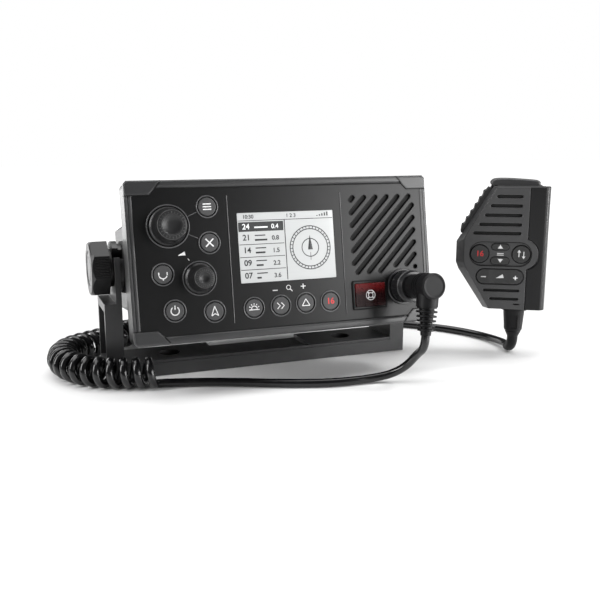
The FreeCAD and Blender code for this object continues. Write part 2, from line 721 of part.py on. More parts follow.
# Distress key and cover
def distress_cover():
    top = distress_v + cover_height / 2
    low = distress_v - cover_height / 2
    left = distress_u - cover_width / 2
    right = distress_u + cover_width / 2
    axis_y = panel_y - 1.1
    plate = block(left, right, axis_y - cover_thick / 2, axis_y + cover_thick / 2, low, top - cover_thick / 2)
    pin = Part.makeCylinder(cover_thick / 2, right - left, V(left, axis_y, top - cover_thick / 2), V(1, 0, 0))
    tab = block(distress_u - 4, distress_u + 4, axis_y - cover_thick / 2 - 0.5, axis_y + 0.1, low, low + 1.6)
    return fuse([plate, pin, tab])


def distress_button():
    y0 = panel_y + 0.6
    head = pill(distress_u - 7.6, distress_u + 7.6, distress_v - 5.0, distress_v + 4.6, 1.6, y0, panel_back + 2.0)
    foot = pill(distress_u - 9.2, distress_u + 9.2, distress_v - 6.4, distress_v + 6.0, 1.0,
                panel_back + 2.0, panel_back + 3.0)
    return fuse([head, foot])


# Fist microphone
shell_outer = [(-20.9, mic_low), (mic_right, mic_low), (mic_right, mic_high), (-17.4, mic_high),
               (-36.2, 82.6), (-39.7, 76.6), (-39.7, 63.2), (-38.0, 58.8)]
shell_face = [(-17.4, mic_low + 0.5), (mic_right - 1.4, mic_low + 0.5), (mic_right - 1.4, mic_high - 0.5),
              (-15.6, mic_high - 0.5), (-33.6, 82.6), (-35.0, 79.4), (-34.6, 64.0), (-33.4, 60.6)]
back_outer = [(-20.0, mic_low + 0.8), (13.0, mic_low + 0.8), (13.0, mic_high + 0.6), (-17.6, mic_high + 0.6),
              (-33.2, 87.8), (-37.6, 76.4), (-37.6, 63.2), (-36.0, 58.8)]


def shrunk(points, wall):
    """The outline moved in by a wall thickness."""
    wire = outline(points, 0)
    inner = wire.makeOffset2D(-wall, 2)
    if Part.Face(inner).Area > Part.Face(wire).Area:
        inner = wire.makeOffset2D(wall, 2)
    return inner


def mic_keys():
    """Name and outline of each key: rounded rectangle x0, x1, z0, z1 and corner radius."""
    return (
        ("mic_key_quick", -30.2, -19.0, 64.2, 75.4, 5.6),
        ("mic_key_power", -3.9, 7.1, 64.5, 75.5, 5.5),
        ("mic_key_up", -17.0, -6.3, 72.6, 76.4, 1.9),
        ("mic_key_down", -17.4, -5.9, 63.1, 67.7, 2.3),
    )


vol_rocker = (-26.0, 3.4, 50.3, 59.7)
pivot_r = 0.9
lever_pivot = (-36.2, 83.2)


def mic_front_shell():
    y_mid = -5.0
    straight = prism(shell_outer, y_mid, mic_split)
    taper = Part.makeLoft([outline(shell_outer, y_mid), outline(shell_face, mic_front)], True, True)
    body = fuse([straight, taper])
    body = rounded(body, 5.0, lambda e: len(e.Vertexes) == 2 and abs(e.Vertexes[0].Point.x - e.Vertexes[1].Point.x) < 0.01
                   and e.CenterOfMass.x > 10 and abs(e.CenterOfMass.y - mic_front) < 0.01)
    cavity = Part.Face(shrunk(shell_outer, mic_wall + 1.2)).extrude(V(0, 20, 0))
    cavity.translate(V(0, y_mid + 0.6, 0))
    cavity2 = Part.Face(shrunk(shell_face, mic_wall + 1.5)).extrude(V(0, 20, 0))
    cavity2.translate(V(0, mic_front + mic_wall + 0.8, 0))
    body = body.cut(fuse([cavity, cavity2]).cut(ptt_pocket(1.4)))
    band = block(5.2, mic_right + 1, mic_front - 1, mic_front + 0.8, mic_low - 1, mic_high + 1)
    band = band.cut(rod(2.2, 70.0, 10.0, mic_front - 2, mic_front + 2))
    cuts = [band]
    rights = 0.0
    for z, left in ((107.2, -14.4), (101.2, -18.0), (95.1, -21.4), (89.1, -24.8), (83.4, -28.4)):
        cuts.append(stadium(left, z, rights, z, 2.1, mic_front - 1, mic_front + 4))
    for z, left, right in ((45.9, -20.6, 0.8), (40.3, -16.4, 0.4)):
        cuts.append(stadium(left, z, right, z, 1.8, mic_front - 1, mic_front + 4))
    cuts.append(stadium(-1.6, 36.9, 1.6, 36.9, 1.0, mic_front - 1, mic_front + 4))
    cuts.append(pill(-31.2, 8.2, 62.0, 77.7, 7.7, mic_front - 1, mic_front + 1.0))
    for _, x0, x1, z0, z1, r in mic_keys():
        cuts.append(pill(x0 - key_gap, x1 + key_gap, z0 - key_gap, z1 + key_gap, r + key_gap,
                         mic_front - 1, mic_front + 4))
    x0, x1, z0, z1 = vol_rocker
    cuts.append(pill(x0 - 0.5, x1 + 0.5, z0 - 0.5, z1 + 0.5, 5.2, mic_front - 1, mic_front + 4))
    body = body.cut(fuse(cuts))
    return body.cut(fuse([ptt_pocket(), boot_socket()]))


def ptt_pocket(wall=0.0):
    """Room for the push-to-talk lever along the upper left flank."""
    return prism([(-13.0 + wall, 116.5), (-16.6 + wall, 109.4), (-33.6 + wall, 81.2 - wall), (-42.5, 81.2 - wall),
                  (-42.5, 116.5)], -5.4 - wall, 8.4 + wall)


def boot_socket():
    """Round seat for the boot's lip where the two shells meet at the bottom."""
    return Part.makeCylinder(boot_lip_r + fit_gap, 8.0, V(0, 0, mic_low - 3.0))


def ptt_lever():
    """Ribbed lever on the upper left flank, hinged at its lower end."""
    start = (-37.0, 82.8)
    stop = (-19.4, 112.2)
    run = math.hypot(stop[0] - start[0], stop[1] - start[1])
    points = [(0.5, -2.6), (0, -1.6), (0, 0.4)]
    ribs = 6
    pitch = (run - 3.0) / ribs
    for i in range(ribs):
        x = 1.5 + i * pitch
        points += [(x, 1.2), (x + pitch * 0.55, 2.2), (x + pitch * 0.8, 1.2)]
    points += [(run, 0.8), (run, -1.0), (run - 2.0, -1.8)]
    body = prism(points, -4.9, 7.9)
    body.rotate(V(0, 0, 0), V(0, 1, 0), -math.degrees(math.atan2(stop[1] - start[1], stop[0] - start[0])))
    body.translate(V(start[0], 0, start[1]))
    return fuse([body, rod(lever_pivot[0], lever_pivot[1], pivot_r, -5.3, 8.3)])


def mic_rear_shell():
    body = prism(back_outer, mic_split + fit_gap, mic_back)
    body = rounded(body, 2.0, lambda e: abs(e.CenterOfMass.y - mic_back) < 0.01)
    rim_band = prism([(x * 0.985, z) for x, z in shell_outer], mic_split + fit_gap, mic_split + 2.4)
    body = fuse([body, rim_band.common(block(-60, mic_right - 2.6, -20, 20, 0, 120))])
    cavity = Part.Face(shrunk(back_outer, mic_wall + 0.6)).extrude(V(0, mic_back - mic_wall - mic_split + 1, 0))
    cavity.translate(V(0, mic_split - 1, 0))
    body = body.cut(cavity.cut(ptt_pocket(1.4)))
    ribs = [block(-24, 4, mic_back - 0.6, mic_back + 0.4, z - 0.9, z + 0.9) for z in (46, 51, 56)]
    body = fuse([body] + ribs)
    holes = [rod(x, z, 2.0, mic_back - 4, mic_back + 2) for x, z in mic_screw_places]
    holes.append(rod(stud_x, stud_z, 2.4, mic_back - 4, mic_back + 1))
    return body.cut(fuse(holes + [ptt_pocket(), boot_socket()]))


mic_screw_places = ((-13.0, 38.6), (8.4, 108.6), (8.4, 38.6), (-31.4, 70.0))
stud_x = -8.0
stud_z = 84.0


def mic_screws():
    units = []
    for x, z in mic_screw_places:
        units.append(turned(x, z, [(0, mic_back - 5.0), (0.9, mic_back - 5.0), (0.9, mic_back - 1.6), (1.9, mic_back - 1.6),
                                   (1.9, mic_back - 0.3), (0, mic_back - 0.3)]))
    return Part.makeCompound(units)


def hanger_stud():
    """Button on the back that hooks into a hanger clip."""
    return turned(stud_x, stud_z, [(0, mic_back - 3.0), (2.3, mic_back - 3.0), (2.3, mic_back + 0.05), (5.0, mic_back + 0.05),
                                   (5.0, mic_back + 1.0), (3.4, mic_back + 1.6), (3.4, mic_back + 5.0),
                                   (6.6, mic_back + 5.4), (6.6, mic_back + 7.2), (5.6, mic_back + 8.0), (0, mic_back + 8.0)])


def mic_key(x0, x1, z0, z1, r):
    head = pill(x0, x1, z0, z1, r, mic_front + 0.1, mic_front + mic_wall + 0.9)
    foot = pill(x0 - 0.7, x1 + 0.7, z0 - 0.45, z1 + 0.45, r, mic_front + mic_wall + 1.1, mic_front + mic_wall + 1.9)
    neck = pill(x0 + 0.3, x1 - 0.3, z0 + 0.3, z1 - 0.3, r, mic_front + 1, mic_front + mic_wall + 1.5)
    return fuse([head, neck, foot])


def mic_volume_rocker():
    x0, x1, z0, z1 = vol_rocker
    head = pill(x0, x1, z0, z1, 4.7, mic_front - 0.2, mic_front + mic_wall + 1.2)
    dip = Part.makeCylinder(40.0, 20.0, V((x0 + x1) / 2, mic_front - 39.6, z0 - 5), V(0, 0, 1))
    centre = (x0 + x1) / 2
    pivot_y = mic_front + mic_wall + 1.8
    foot = block(centre - pivot_r, centre + pivot_r, mic_front + mic_wall + 1, pivot_y, z0 + 2, z1 - 2)
    pivot = Part.makeCylinder(pivot_r, z1 - z0 - 4, V(centre, pivot_y, z0 + 2))
    return fuse([head.cut(dip), foot, pivot])


def mic_board():
    board_front = mic_front + mic_wall + 3.6
    board = Part.Face(shrunk(shell_face, mic_wall + 2.2)).extrude(V(0, 1.2, 0))
    board.translate(V(0, board_front, 0))
    board = board.common(block(-40, 10, board_front - 1, board_front + 3, mic_low, 77.0))
    chip = block(-20, -8, board_front + 1.2, board_front + 3.0, 46, 58)
    cradle = block(-12.4, -10.2, board_front - 0.7, board_front, 52, 58)
    return fuse([board, chip, cradle])


def mic_speaker():
    y0 = mic_front + mic_wall + 0.9
    return turned(-5.5, 93.0, [(0, y0 + 0.6), (9.6, y0 + 0.4), (13.6, y0), (14.0, y0), (14.0, y0 + 1.8), (8.0, y0 + 4.0),
                               (8.0, y0 + 9.0), (0, y0 + 9.0)])


def mic_capsule():
    y0 = mic_front + mic_wall + 0.9
    return rod(0, 39.5, 2.2, y0, y0 + 2.4)


boot_lip_r = 6.8
boot_bend = 9.0
boot_end = cord_d / 2 + 1.0
boot_heading = (-0.22, 0.97)


def mic_boot():
    """Strain relief under the microphone: collar, tapered body with a window, and a bend to the surface."""
    collar = Part.makeCylinder(8.6, 1.6, V(0, 0, mic_low - 1.8))
    lip = Part.makeCylinder(boot_lip_r, 4.6, V(0, 0, mic_low - 0.6))
    low_z = boot_bend + boot_end + 0.1
    upper = Part.makeCone(5.9, 7.0, mic_low - 1.8 - 17.6, V(0, 0, 17.6))
    lower = Part.makeCone(boot_end, 5.9, 17.6 - low_z, V(0, 0, low_z))
    size = math.hypot(*boot_heading)
    dx, dy = boot_heading[0] / size, boot_heading[1] / size
    top = V(0, 0, low_z)
    half = math.sqrt(0.5) * boot_bend
    middle = V(dx * (boot_bend - half), dy * (boot_bend - half), low_z - half)
    end = V(dx * boot_bend, dy * boot_bend, low_z - boot_bend)
    path = Part.Wire([Part.Arc(top, middle, end).toShape()])
    ring = Part.Wire([Part.makeCircle(boot_end, top, V(0, 0, -1))])
    bend = path.makePipeShell([ring], True, False)
    window = block(-2.2, 2.2, -9.0, -5.2, 18.6, 28.0)
    boot = fuse([collar, lip, upper, lower, bend]).cut(window)
    grooves = [Part.makeTorus(5.6 - 0.35 * i, 0.55, V(0, 0, 16.6 - 1.7 * i)) for i in range(2)]
    return boot.cut(fuse(grooves))


# Cord
def tangent_path(points):
    """Straight runs joined by tangent arcs, and the arcs' radii."""
    edges = []
    radii = []
    last = points[0]
    for i in range(1, len(points) - 1):
        before = points[i] - points[i - 1]
        after = points[i + 1] - points[i]
        turn = before.getAngle(after)
        cut = 0.45 * min(before.Length, after.Length)
        radius = cut / math.tan(turn / 2)
        radii.append(radius)
        into = V(before).normalize()
        out = V(after).normalize()
        first = points[i] - into * cut
        final = points[i] + out * cut
        inward = (out - into).normalize()
        middle = points[i] + inward * (radius / math.cos(turn / 2) - radius)
        edges.append(Part.LineSegment(last, first).toShape())
        edges.append(Part.Arc(first, middle, final).toShape())
        last = final
    edges.append(Part.LineSegment(last, points[-1]).toShape())
    return Part.Wire(edges), radii


def cord_section(at, way):
    """The cord's section as a regular polygon with the round cord's area, one flat side down."""
    across = V(-way.y, way.x, 0).normalize()
    up = way.cross(across)
    share = math.pi / cord_sides
    r = cord_d / 2 * math.sqrt(share / (math.sin(share) * math.cos(share)))
    corners = []
    for i in range(cord_sides):
        turn = 2 * share * (i + 0.5)
        corners.append(at + across * (r * math.sin(turn)) + up * (r * math.cos(turn)))
    return Part.makePolygon(corners + corners[:1])


def cord_tube(name, points):
    path, radii = tangent_path(points)
    start = V(points[1] - points[0]).normalize()
    solid = path.makePipeShell([cord_section(points[0], start)], True, False)
    share = solid.Volume / (path.Length * math.pi * cord_d ** 2 / 4)
    print(name, "length", round(path.Length, 1), "volume share", round(share, 4),
          "radii", [round(r, 1) for r in radii])
    return solid


def arc_between(a, ta, b):
    """The arc from a, leaving along ta, that ends at b."""
    chord = b - a
    turn = ta.getAngle(chord)
    if turn < 1e-4:
        return Part.LineSegment(a, b).toShape()
    side = (chord - ta * chord.dot(ta)).normalize()
    radius = chord.Length / (2 * math.sin(turn))
    centre = a + side * radius
    middle = centre + ((a + b) * 0.5 - centre).normalize() * radius
    return Part.Arc(a, middle, b).toShape()


def biarc(a, ta, b, tb):
    """Two arcs that leave a along ta, meet smoothly and reach b along tb."""
    v = b - a
    t = ta + tb
    bend = 2 * (1 - ta.dot(tb))
    if bend < 1e-6:
        reach = v.dot(v) / (4 * v.dot(tb))
    else:
        reach = (-v.dot(t) + math.sqrt(v.dot(t) ** 2 + bend * v.dot(v))) / bend
    meet = ((a + ta * reach) + (b - tb * reach)) * 0.5
    first = arc_between(a, ta, meet)
    chord = meet - b
    second = arc_between(b, tb * -1, meet)
    return [first, Part.Wire([second]).Edges[0] if chord.Length else second]


def curl_axis():
    """The middle line of the curly cord, as a smooth path on the surface."""
    z = curl_outer / 2 + curl_lift
    points = [V(x, y, z) for x, y in curl_route]
    path, radii = tangent_path(points)
    print("curl axis radii", [round(r, 1) for r in radii])
    return path


def curly_cord(enter, enter_way, leave, leave_way):
    """One unbroken tube: a straight end, the curls and a second straight end."""
    axis = curl_axis()
    length = axis.Length
    turns = round(length / curl_pitch)
    radius = (curl_outer - cord_d) / 2
    steps = 2 * turns
    places = axis.discretize(Number=40 * turns + 1)

    def middle(s):
        at = s * (len(places) - 1)
        i = min(int(at), len(places) - 2)
        return places[i] + (places[i + 1] - places[i]) * (at - i)

    def helix(s):
        centre = middle(s)
        along = (middle(min(s + 0.004, 1.0)) - middle(max(s - 0.004, 0.0))).normalize()
        side = V(-along.y, along.x, 0)
        turn = 2 * math.pi * turns * s - math.pi / 2
        return centre + side * (radius * math.cos(turn)) + V(0, 0, radius * math.sin(turn))

    knots = [helix(i / steps) for i in range(steps + 1)]
    small = 1e-4
    ways = [(helix(min(i / steps + small, 1.0)) - helix(max(i / steps - small, 0.0))).normalize()
            for i in range(steps + 1)]
    stub = cord_d
    ends_in = enter + enter_way * stub
    ends_out = leave - leave_way * stub
    edges = [Part.LineSegment(enter, ends_in).toShape()]
    edges += biarc(ends_in, enter_way, knots[1], ways[1])
    for i in range(1, steps - 1):
        edges += biarc(knots[i], ways[i], knots[i + 1], ways[i + 1])
    edges += biarc(knots[steps - 1], ways[steps - 1], ends_out, leave_way)
    edges.append(Part.LineSegment(ends_out, leave).toShape())
    path = Part.Wire(Part.__sortEdges__(edges))
    samples = [(s, helix(s)) for s in (i / (turns * 24) for i in range(turns * 24 + 1))]
    gap = min((p - q).Length for i, (s, p) in enumerate(samples) for t, q in samples[i + 12:i + 40]
              ) - cord_d
    print("curls", turns, "axis", round(length, 1), "wire", round(path.Length, 1), "least gap to itself", round(gap, 2))
    return path.makePipeShell([cord_section(enter, enter_way)], True, False)


def build():
    save("mounting_bracket", bracket())
    save("front_panel", in_radio(fascia()))
    names = ("top_trim", "bottom_trim", "side_trims", "corner_caps")
    for name, shape in zip(names, trims()):
        save(name, in_radio(shape))
    for name, u, v in panel_keys:
        save(name, in_radio(panel_key(u, v)))
    save("channel_knob", in_radio(rotary_knob(channel_knob)))
    save("volume_knob", in_radio(rotary_knob(volume_knob)))
    save("channel_shaft", in_radio(knob_shaft(channel_knob)))
    save("volume_shaft", in_radio(knob_shaft(volume_knob)))
    save("rotary_encoders", in_radio(encoders()))
    save("display_window", in_radio(lcd_window()))
    save("display_module", in_radio(lcd_module()))
    save("keypad_mat", in_radio(keypad_mat()))
    save("main_board", in_radio(main_board()))
    save("speaker", in_radio(speaker()))
    save("speaker_cloth", in_radio(speaker_cloth()))
    save("front_seal", in_radio(front_seal()))
    save("rear_housing", in_radio(rear_housing()))
    save("antenna_socket", in_radio(antenna_socket()))
    save("accessory_sockets", in_radio(accessory_sockets()))
    save("housing_screws", in_radio(housing_screws()))
    save("friction_washers", in_radio(friction_washers()))
    save("clamp_knob_right", in_radio(clamp_knob()))
    save("clamp_knob_left", in_radio(mirrored(clamp_knob())))
    save("mic_socket", in_radio(mic_socket()))
    save("coupling_ring", in_radio(coupling_ring()))
    save("plug_body", in_radio(plug_body()))
    save("plug_boot", in_radio(plug_boot()))
    save("distress_cover", in_radio(distress_cover()))
    save("distress_button", in_radio(distress_button()))
    save("mic_front_shell", at_mic(mic_front_shell()))
    save("mic_rear_shell", at_mic(mic_rear_shell()))
    save("ptt_lever", at_mic(ptt_lever()))
    for name, x0, x1, z0, z1, r in mic_keys():
        save(name, at_mic(mic_key(x0, x1, z0, z1, r)))
    save("mic_volume_rocker", at_mic(mic_volume_rocker()))
    save("mic_board", at_mic(mic_board()))
    save("mic_speaker", at_mic(mic_speaker()))
    save("mic_capsule", at_mic(mic_capsule()))
    save("mic_screws", at_mic(mic_screws()))
    save("hanger_stud", at_mic(hanger_stud()))
    save("mic_boot", at_mic(mic_boot()))

    down = math.radians(plug_lean)
    reach = leg_length + boot_length
    exit_local = (socket_u - reach * math.sin(down), normal(elbow_axis), socket_v - reach * math.cos(down))
    exit_point = radio_point(*exit_local)
    way = (radio_point(exit_local[0] - math.sin(down), exit_local[1], exit_local[2] - math.cos(down))
           - exit_point).normalize()
    z = curl_outer / 2 + curl_lift - (curl_outer - cord_d) / 2
    axis = curl_axis().discretize(Number=200)
    enter_way = (axis[1] - axis[0]).normalize()
    leave_way = (axis[-1] - axis[-2]).normalize()
    enter = V(axis[0].x, axis[0].y, z) - enter_way * (cord_d + 3.0)
    leave = V(axis[-1].x, axis[-1].y, z) + leave_way * (cord_d + 3.0)
    save("curly_cord", curly_cord(enter, enter_way, leave, leave_way))
    front = [exit_point, exit_point + way * 7.0] + [V(*p) for p in front_route] + [enter - enter_way * 14.0, enter]
    save("front_lead", cord_tube("front_lead", front))
    size = math.hypot(*boot_heading)
    heading = (boot_heading[0] / size, boot_heading[1] / size)
    boot_exit = mic_point(heading[0] * boot_bend, heading[1] * boot_bend, boot_end + 0.1)
    before = mic_point(heading[0] * (boot_bend + 7), heading[1] * (boot_bend + 7), boot_end + 0.1)
    rear = [leave, leave + leave_way * 14.0] + [V(*p) for p in rear_route] + [before, boot_exit]
    save("rear_lead", cord_tube("rear_lead", rear))


build()
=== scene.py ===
import bpy
import bmesh
import math
import numpy as np
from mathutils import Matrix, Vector


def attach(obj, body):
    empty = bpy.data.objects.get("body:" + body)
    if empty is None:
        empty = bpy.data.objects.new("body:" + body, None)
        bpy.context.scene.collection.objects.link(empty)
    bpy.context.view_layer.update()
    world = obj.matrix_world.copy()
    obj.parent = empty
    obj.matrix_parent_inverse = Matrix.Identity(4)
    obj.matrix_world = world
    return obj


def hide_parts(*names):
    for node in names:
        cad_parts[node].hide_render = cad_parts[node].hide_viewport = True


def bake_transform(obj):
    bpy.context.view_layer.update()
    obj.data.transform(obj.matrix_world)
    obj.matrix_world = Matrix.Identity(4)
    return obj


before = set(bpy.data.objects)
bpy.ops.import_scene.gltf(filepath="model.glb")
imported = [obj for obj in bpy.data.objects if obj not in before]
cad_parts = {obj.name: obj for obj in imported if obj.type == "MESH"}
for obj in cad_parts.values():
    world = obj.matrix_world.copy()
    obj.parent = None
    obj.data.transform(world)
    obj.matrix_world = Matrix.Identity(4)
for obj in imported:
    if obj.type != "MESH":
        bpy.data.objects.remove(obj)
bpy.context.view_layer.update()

# Camera: stands to the left in front of the radio and looks slightly down, as the photograph does.
# Its lens and place follow from the four corners of the radio's front in the photograph.
look_down = 11.581
look_right = 21.37
camera_data = bpy.data.cameras.new("camera")
camera_data.sensor_width = 36.0
camera_data.lens = 46.85
camera_data.clip_start = 0.02
camera = bpy.data.objects.new("camera", camera_data)
camera.location = (-0.15728, -0.47879, 0.1427)
camera.rotation_euler = (math.radians(90.0 - look_down), 0.0, math.radians(-look_right))
bpy.context.collection.objects.link(camera)
bpy.context.scene.camera = camera
bpy.context.scene.view_settings.view_transform = "Standard"

# Cord: one PVC-jacketed lead in three stretches. A straight lead hangs from the plug to the surface,
# the curly stretch was wound hot on a rod, and a second straight lead runs behind to the microphone.
cord_d = 0.005
lying_z = 0.00255
helix_turns = 26
helix_steps = 16
curl_r = 0.0068 / math.cos(math.pi / helix_steps)
helix_z = 0.00935
plug_exit = (0.06953, -0.09798, 0.0321)
front_points = [
    plug_exit, (0.06868, -0.09919, 0.02526), (0.0682, -0.0914, 0.0195), (0.0646, -0.0856, 0.011),
    (0.0576, -0.0796, 0.005), (0.0475, -0.076, 0.0028), (0.0345, -0.0758, lying_z),
    (0.019, -0.0742, lying_z), (0.003, -0.0689, lying_z), (-0.012, -0.0623, lying_z),
    (-0.027, -0.055, lying_z), (-0.041, -0.0488, lying_z), (-0.05474, -0.04387, lying_z),
    (-0.06827, -0.04026, lying_z),
]
curl_points = [
    (-0.076, -0.0382), (-0.088, -0.035), (-0.1015, -0.0296), (-0.1135, -0.02), (-0.122, -0.006),
    (-0.125, 0.01), (-0.122, 0.0255), (-0.112, 0.037), (-0.098, 0.0455), (-0.084, 0.056),
    (-0.072, 0.0685), (-0.057, 0.0785), (-0.04, 0.084),
]
rear_points = [
    (-0.03239, 0.08646, lying_z), (-0.01907, 0.09077, lying_z), (-0.002, 0.0886, lying_z),
    (0.022, 0.0896, lying_z), (0.05, 0.087, lying_z), (0.078, 0.0792, lying_z),
    (0.104, 0.0652, lying_z), (0.127, 0.0476, lying_z), (0.146, 0.0306, lying_z),
    (0.1596, 0.0124, lying_z), (0.1676, -0.006, 0.0026), (0.1702, -0.021, 0.0029),
    (0.16977, -0.03699, 0.0036), (0.16746, -0.0436, 0.0036),
]


def smooth_curve(name, points, bevel=0.0):
    """A curve object with one NURBS spline of order 3: it starts and ends at the first and last of the
    control points, and cuts inside the others."""
    curve = bpy.data.curves.new(name, "CURVE")
    curve.dimensions = "3D"
    curve.resolution_u = 6
    spline = curve.splines.new("NURBS")
    spline.points.add(len(points) - 1)
    weighted = np.hstack([np.asarray(points, float), np.ones((len(points), 1))])
    spline.points.foreach_set("co", weighted.ravel())
    spline.order_u = 3
    spline.use_endpoint_u = True
    spline.use_smooth = True
    curve.bevel_depth = bevel
    curve.bevel_resolution = 6
    curve.use_fill_caps = bevel > 0.0
    made = bpy.data.objects.new(name, curve)
    bpy.context.collection.objects.link(made)
    return made


def line_of(points):
    """The points along the NURBS spline of a route, and that line's length."""
    guide = smooth_curve("guide", points)
    bpy.context.view_layer.update()
    mesh = bpy.data.meshes.new_from_object(guide)
    line = np.empty(len(mesh.vertices) * 3)
    mesh.vertices.foreach_get("co", line)
    line = line.reshape(-1, 3)
    bpy.data.objects.remove(guide)
    return line, float(np.linalg.norm(np.diff(line, axis=0), axis=1).sum())


def helix_points():
    """Points of the curls: the middle line at each share of its length, plus a circle that turns across
    it, sideways by the cosine and upwards by the sine of the turn."""
    line, _ = line_of([(x, y, helix_z) for x, y in curl_points])
    run = np.concatenate([[0.0], np.cumsum(np.linalg.norm(np.diff(line, axis=0), axis=1))])
    share = np.linspace(0.0, 1.0, helix_turns * helix_steps + 1)
    middle = np.stack([np.interp(share * run[-1], run, line[:, k]) for k in range(3)], axis=1)
    along = np.gradient(middle, axis=0)
    along /= np.linalg.norm(along, axis=1)[:, None]
    side = np.stack([-along[:, 1], along[:, 0], np.zeros(len(along))], axis=1)
    turn = (2.0 * math.pi * helix_turns * share - math.pi / 2.0)[:, None]
    up = np.array([0.0, 0.0, 1.0])
    return middle + curl_r * (side * np.cos(turn) + up * np.sin(turn))


def skin(grid, closed=False):
    """Points and faces of a grid of points, rows along the piece and columns round it. A closed grid's
    last row meets its first; an open one's ends are closed with a fan onto their middle points."""
    rows, columns, _ = grid.shape
    index = np.arange(rows * columns).reshape(rows, columns)
    right = np.roll(index, -1, axis=1)
    if closed:
        below, below_right = np.roll(index, -1, axis=0), np.roll(right, -1, axis=0)
        quads = np.stack([index, right, below_right, below], axis=-1).reshape(-1, 4)
        return grid.reshape(-1, 3), quads.tolist()
    quads = np.stack([index[:-1], right[:-1], right[1:], index[1:]], axis=-1).reshape(-1, 4)
    first = np.full(columns, rows * columns)
    fans = np.concatenate([np.stack([first, right[0], index[0]], axis=1),
                           np.stack([first + 1, index[-1], right[-1]], axis=1)])
    points = np.concatenate([grid.reshape(-1, 3), grid[[0, -1]].mean(axis=1)])
    return points, quads.tolist() + fans.tolist()


def piece(name, parts, finish, body, sharp=0.6):
    """One object out of (points, faces) parts, its faces turned outwards, riding on a body."""
    starts = np.cumsum([0] + [len(points) for points, _ in parts[:-1]])
    points = np.concatenate([points for points, _ in parts])
    faces = [[int(i + start) for i in face] for (_, held), start in zip(parts, starts) for face in held]
    mesh = bpy.data.meshes.new(name)
    mesh.from_pydata(points.tolist(), [], faces)
    work = bmesh.new()
    work.from_mesh(mesh)
    bmesh.ops.remove_doubles(work, verts=work.verts, dist=1e-8)
    bmesh.ops.recalc_face_normals(work, faces=work.faces)
    work.to_mesh(mesh)
    work.free()
    mesh.shade_smooth()
    mesh.set_sharp_from_angle(angle=sharp)
    mesh.materials.append(finish)
    made = bpy.data.objects.new(name, mesh)
    bpy.context.collection.objects.link(made)
    if body is not None:
        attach(made, body)
    return made


def tube_along(line, radius, columns=20):
    """A round tube: circles across the line, whose first side is the part of a level direction that
    lies across the line's own."""
    along = np.gradient(line, axis=0)
    along /= np.linalg.norm(along, axis=1)[:, None]
    level = np.array([0.35, 0.937, 0.0])
    side = level - along * (along @ level)[:, None]
    side /= np.linalg.norm(side, axis=1)[:, None]
    up = np.cross(along, side)
    turn = np.linspace(0.0, 2.0 * math.pi, columns, endpoint=False)
    ring = np.cos(turn)[None, :, None] * side[:, None] + np.sin(turn)[None, :, None] * up[:, None]
    return skin(line[:, None] + radius * ring)


class Tap:
    """One socket of a node tree. A sum, difference or product of it with a number or with another
    socket is the output of a new Math node."""

    def __init__(self, finish, socket):
        self.finish = finish
        self.socket = socket

    def maths(self, operation, first, second):
        return self.finish.make("Math", {"operation": operation}, {0: first, 1: second})

    def __add__(self, other):
        return self.maths("ADD", self, other)

    def __radd__(self, other):
        return self.maths("ADD", other, self)

    def __sub__(self, other):
        return self.maths("SUBTRACT", self, other)

    def __rsub__(self, other):
        return self.maths("SUBTRACT", other, self)

    def __mul__(self, other):
        return self.maths("MULTIPLY", self, other)

    def __rmul__(self, other):
        return self.maths("MULTIPLY", other, self)


class Finish:
    """The nodes of one material, or of the world."""

    def __init__(self, name, holders=bpy.data.materials):
        self.holder = holders.new(name)
        self.holder.use_nodes = True
        self.tree = self.holder.node_tree
        self.tree.nodes.clear()

    def make(self, kind, settings=(), sockets=(), output=0):
        """Adds any node: its settings first, then the values or links of its sockets."""
        made = self.tree.nodes.new("ShaderNode" + kind)
        for name, value in dict(settings).items():
            setattr(made, name, value)
        for name, value in dict(sockets).items():
            if isinstance(value, Tap):
                self.tree.links.new(value.socket, made.inputs[name])
            else:
                made.inputs[name].default_value = value
        return Tap(self, made.outputs[output])

    def place(self):
        """Where the shaded point lies in the row frame, in metres."""
        return self.make("TexCoord", output="Object")

    def noise(self, scale, detail=3.0, rough=0.55):
        """Cloudy noise from 0 to 1, with scale patches to the metre."""
        return self.make("TexNoise", {}, {"Vector": self.place(), "Scale": scale, "Detail": detail,
                                          "Roughness": rough})

    def step(self, value, low, high):
        """0 below low and 1 above high, and between them 3 t squared less 2 t cubed."""
        return self.make("MapRange", {"interpolation_type": "SMOOTHSTEP"},
                         {0: value, 1: low, 2: high, 3: 0.0, 4: 1.0})

    def blend(self, share, first, second):
        """Colour between two, by a share from 0 to 1."""
        return self.make("Mix", {"data_type": "RGBA"}, {0: share, 6: first, 7: second}, output=2)

    def edges(self, radius):
        """A normal that rounds hard edges off, and a mask that is 1 on those edges: it follows 1 less
        the cosine of the angle between the rounded normal and the real one."""
        soft = self.make("Bevel", {"samples": 4}, {"Radius": radius})
        hard = self.make("NewGeometry", output="Normal")
        flat = self.make("VectorMath", {"operation": "DOT_PRODUCT"}, {0: soft, 1: hard}, output="Value")
        return soft, self.step(1.0 - flat, 0.004, 0.12)

    def join(self, shader, kind="Material"):
        """Joins a shader to the output node, and gives the material or the world."""
        end = self.tree.nodes.new("ShaderNodeOutput" + kind)
        self.tree.links.new(shader.socket, end.inputs["Surface"])
        return self.holder

    def done(self, sockets):
        """Ends the material in one surface shader with these sockets."""
        return self.join(self.make("BsdfPrincipled", {}, sockets))


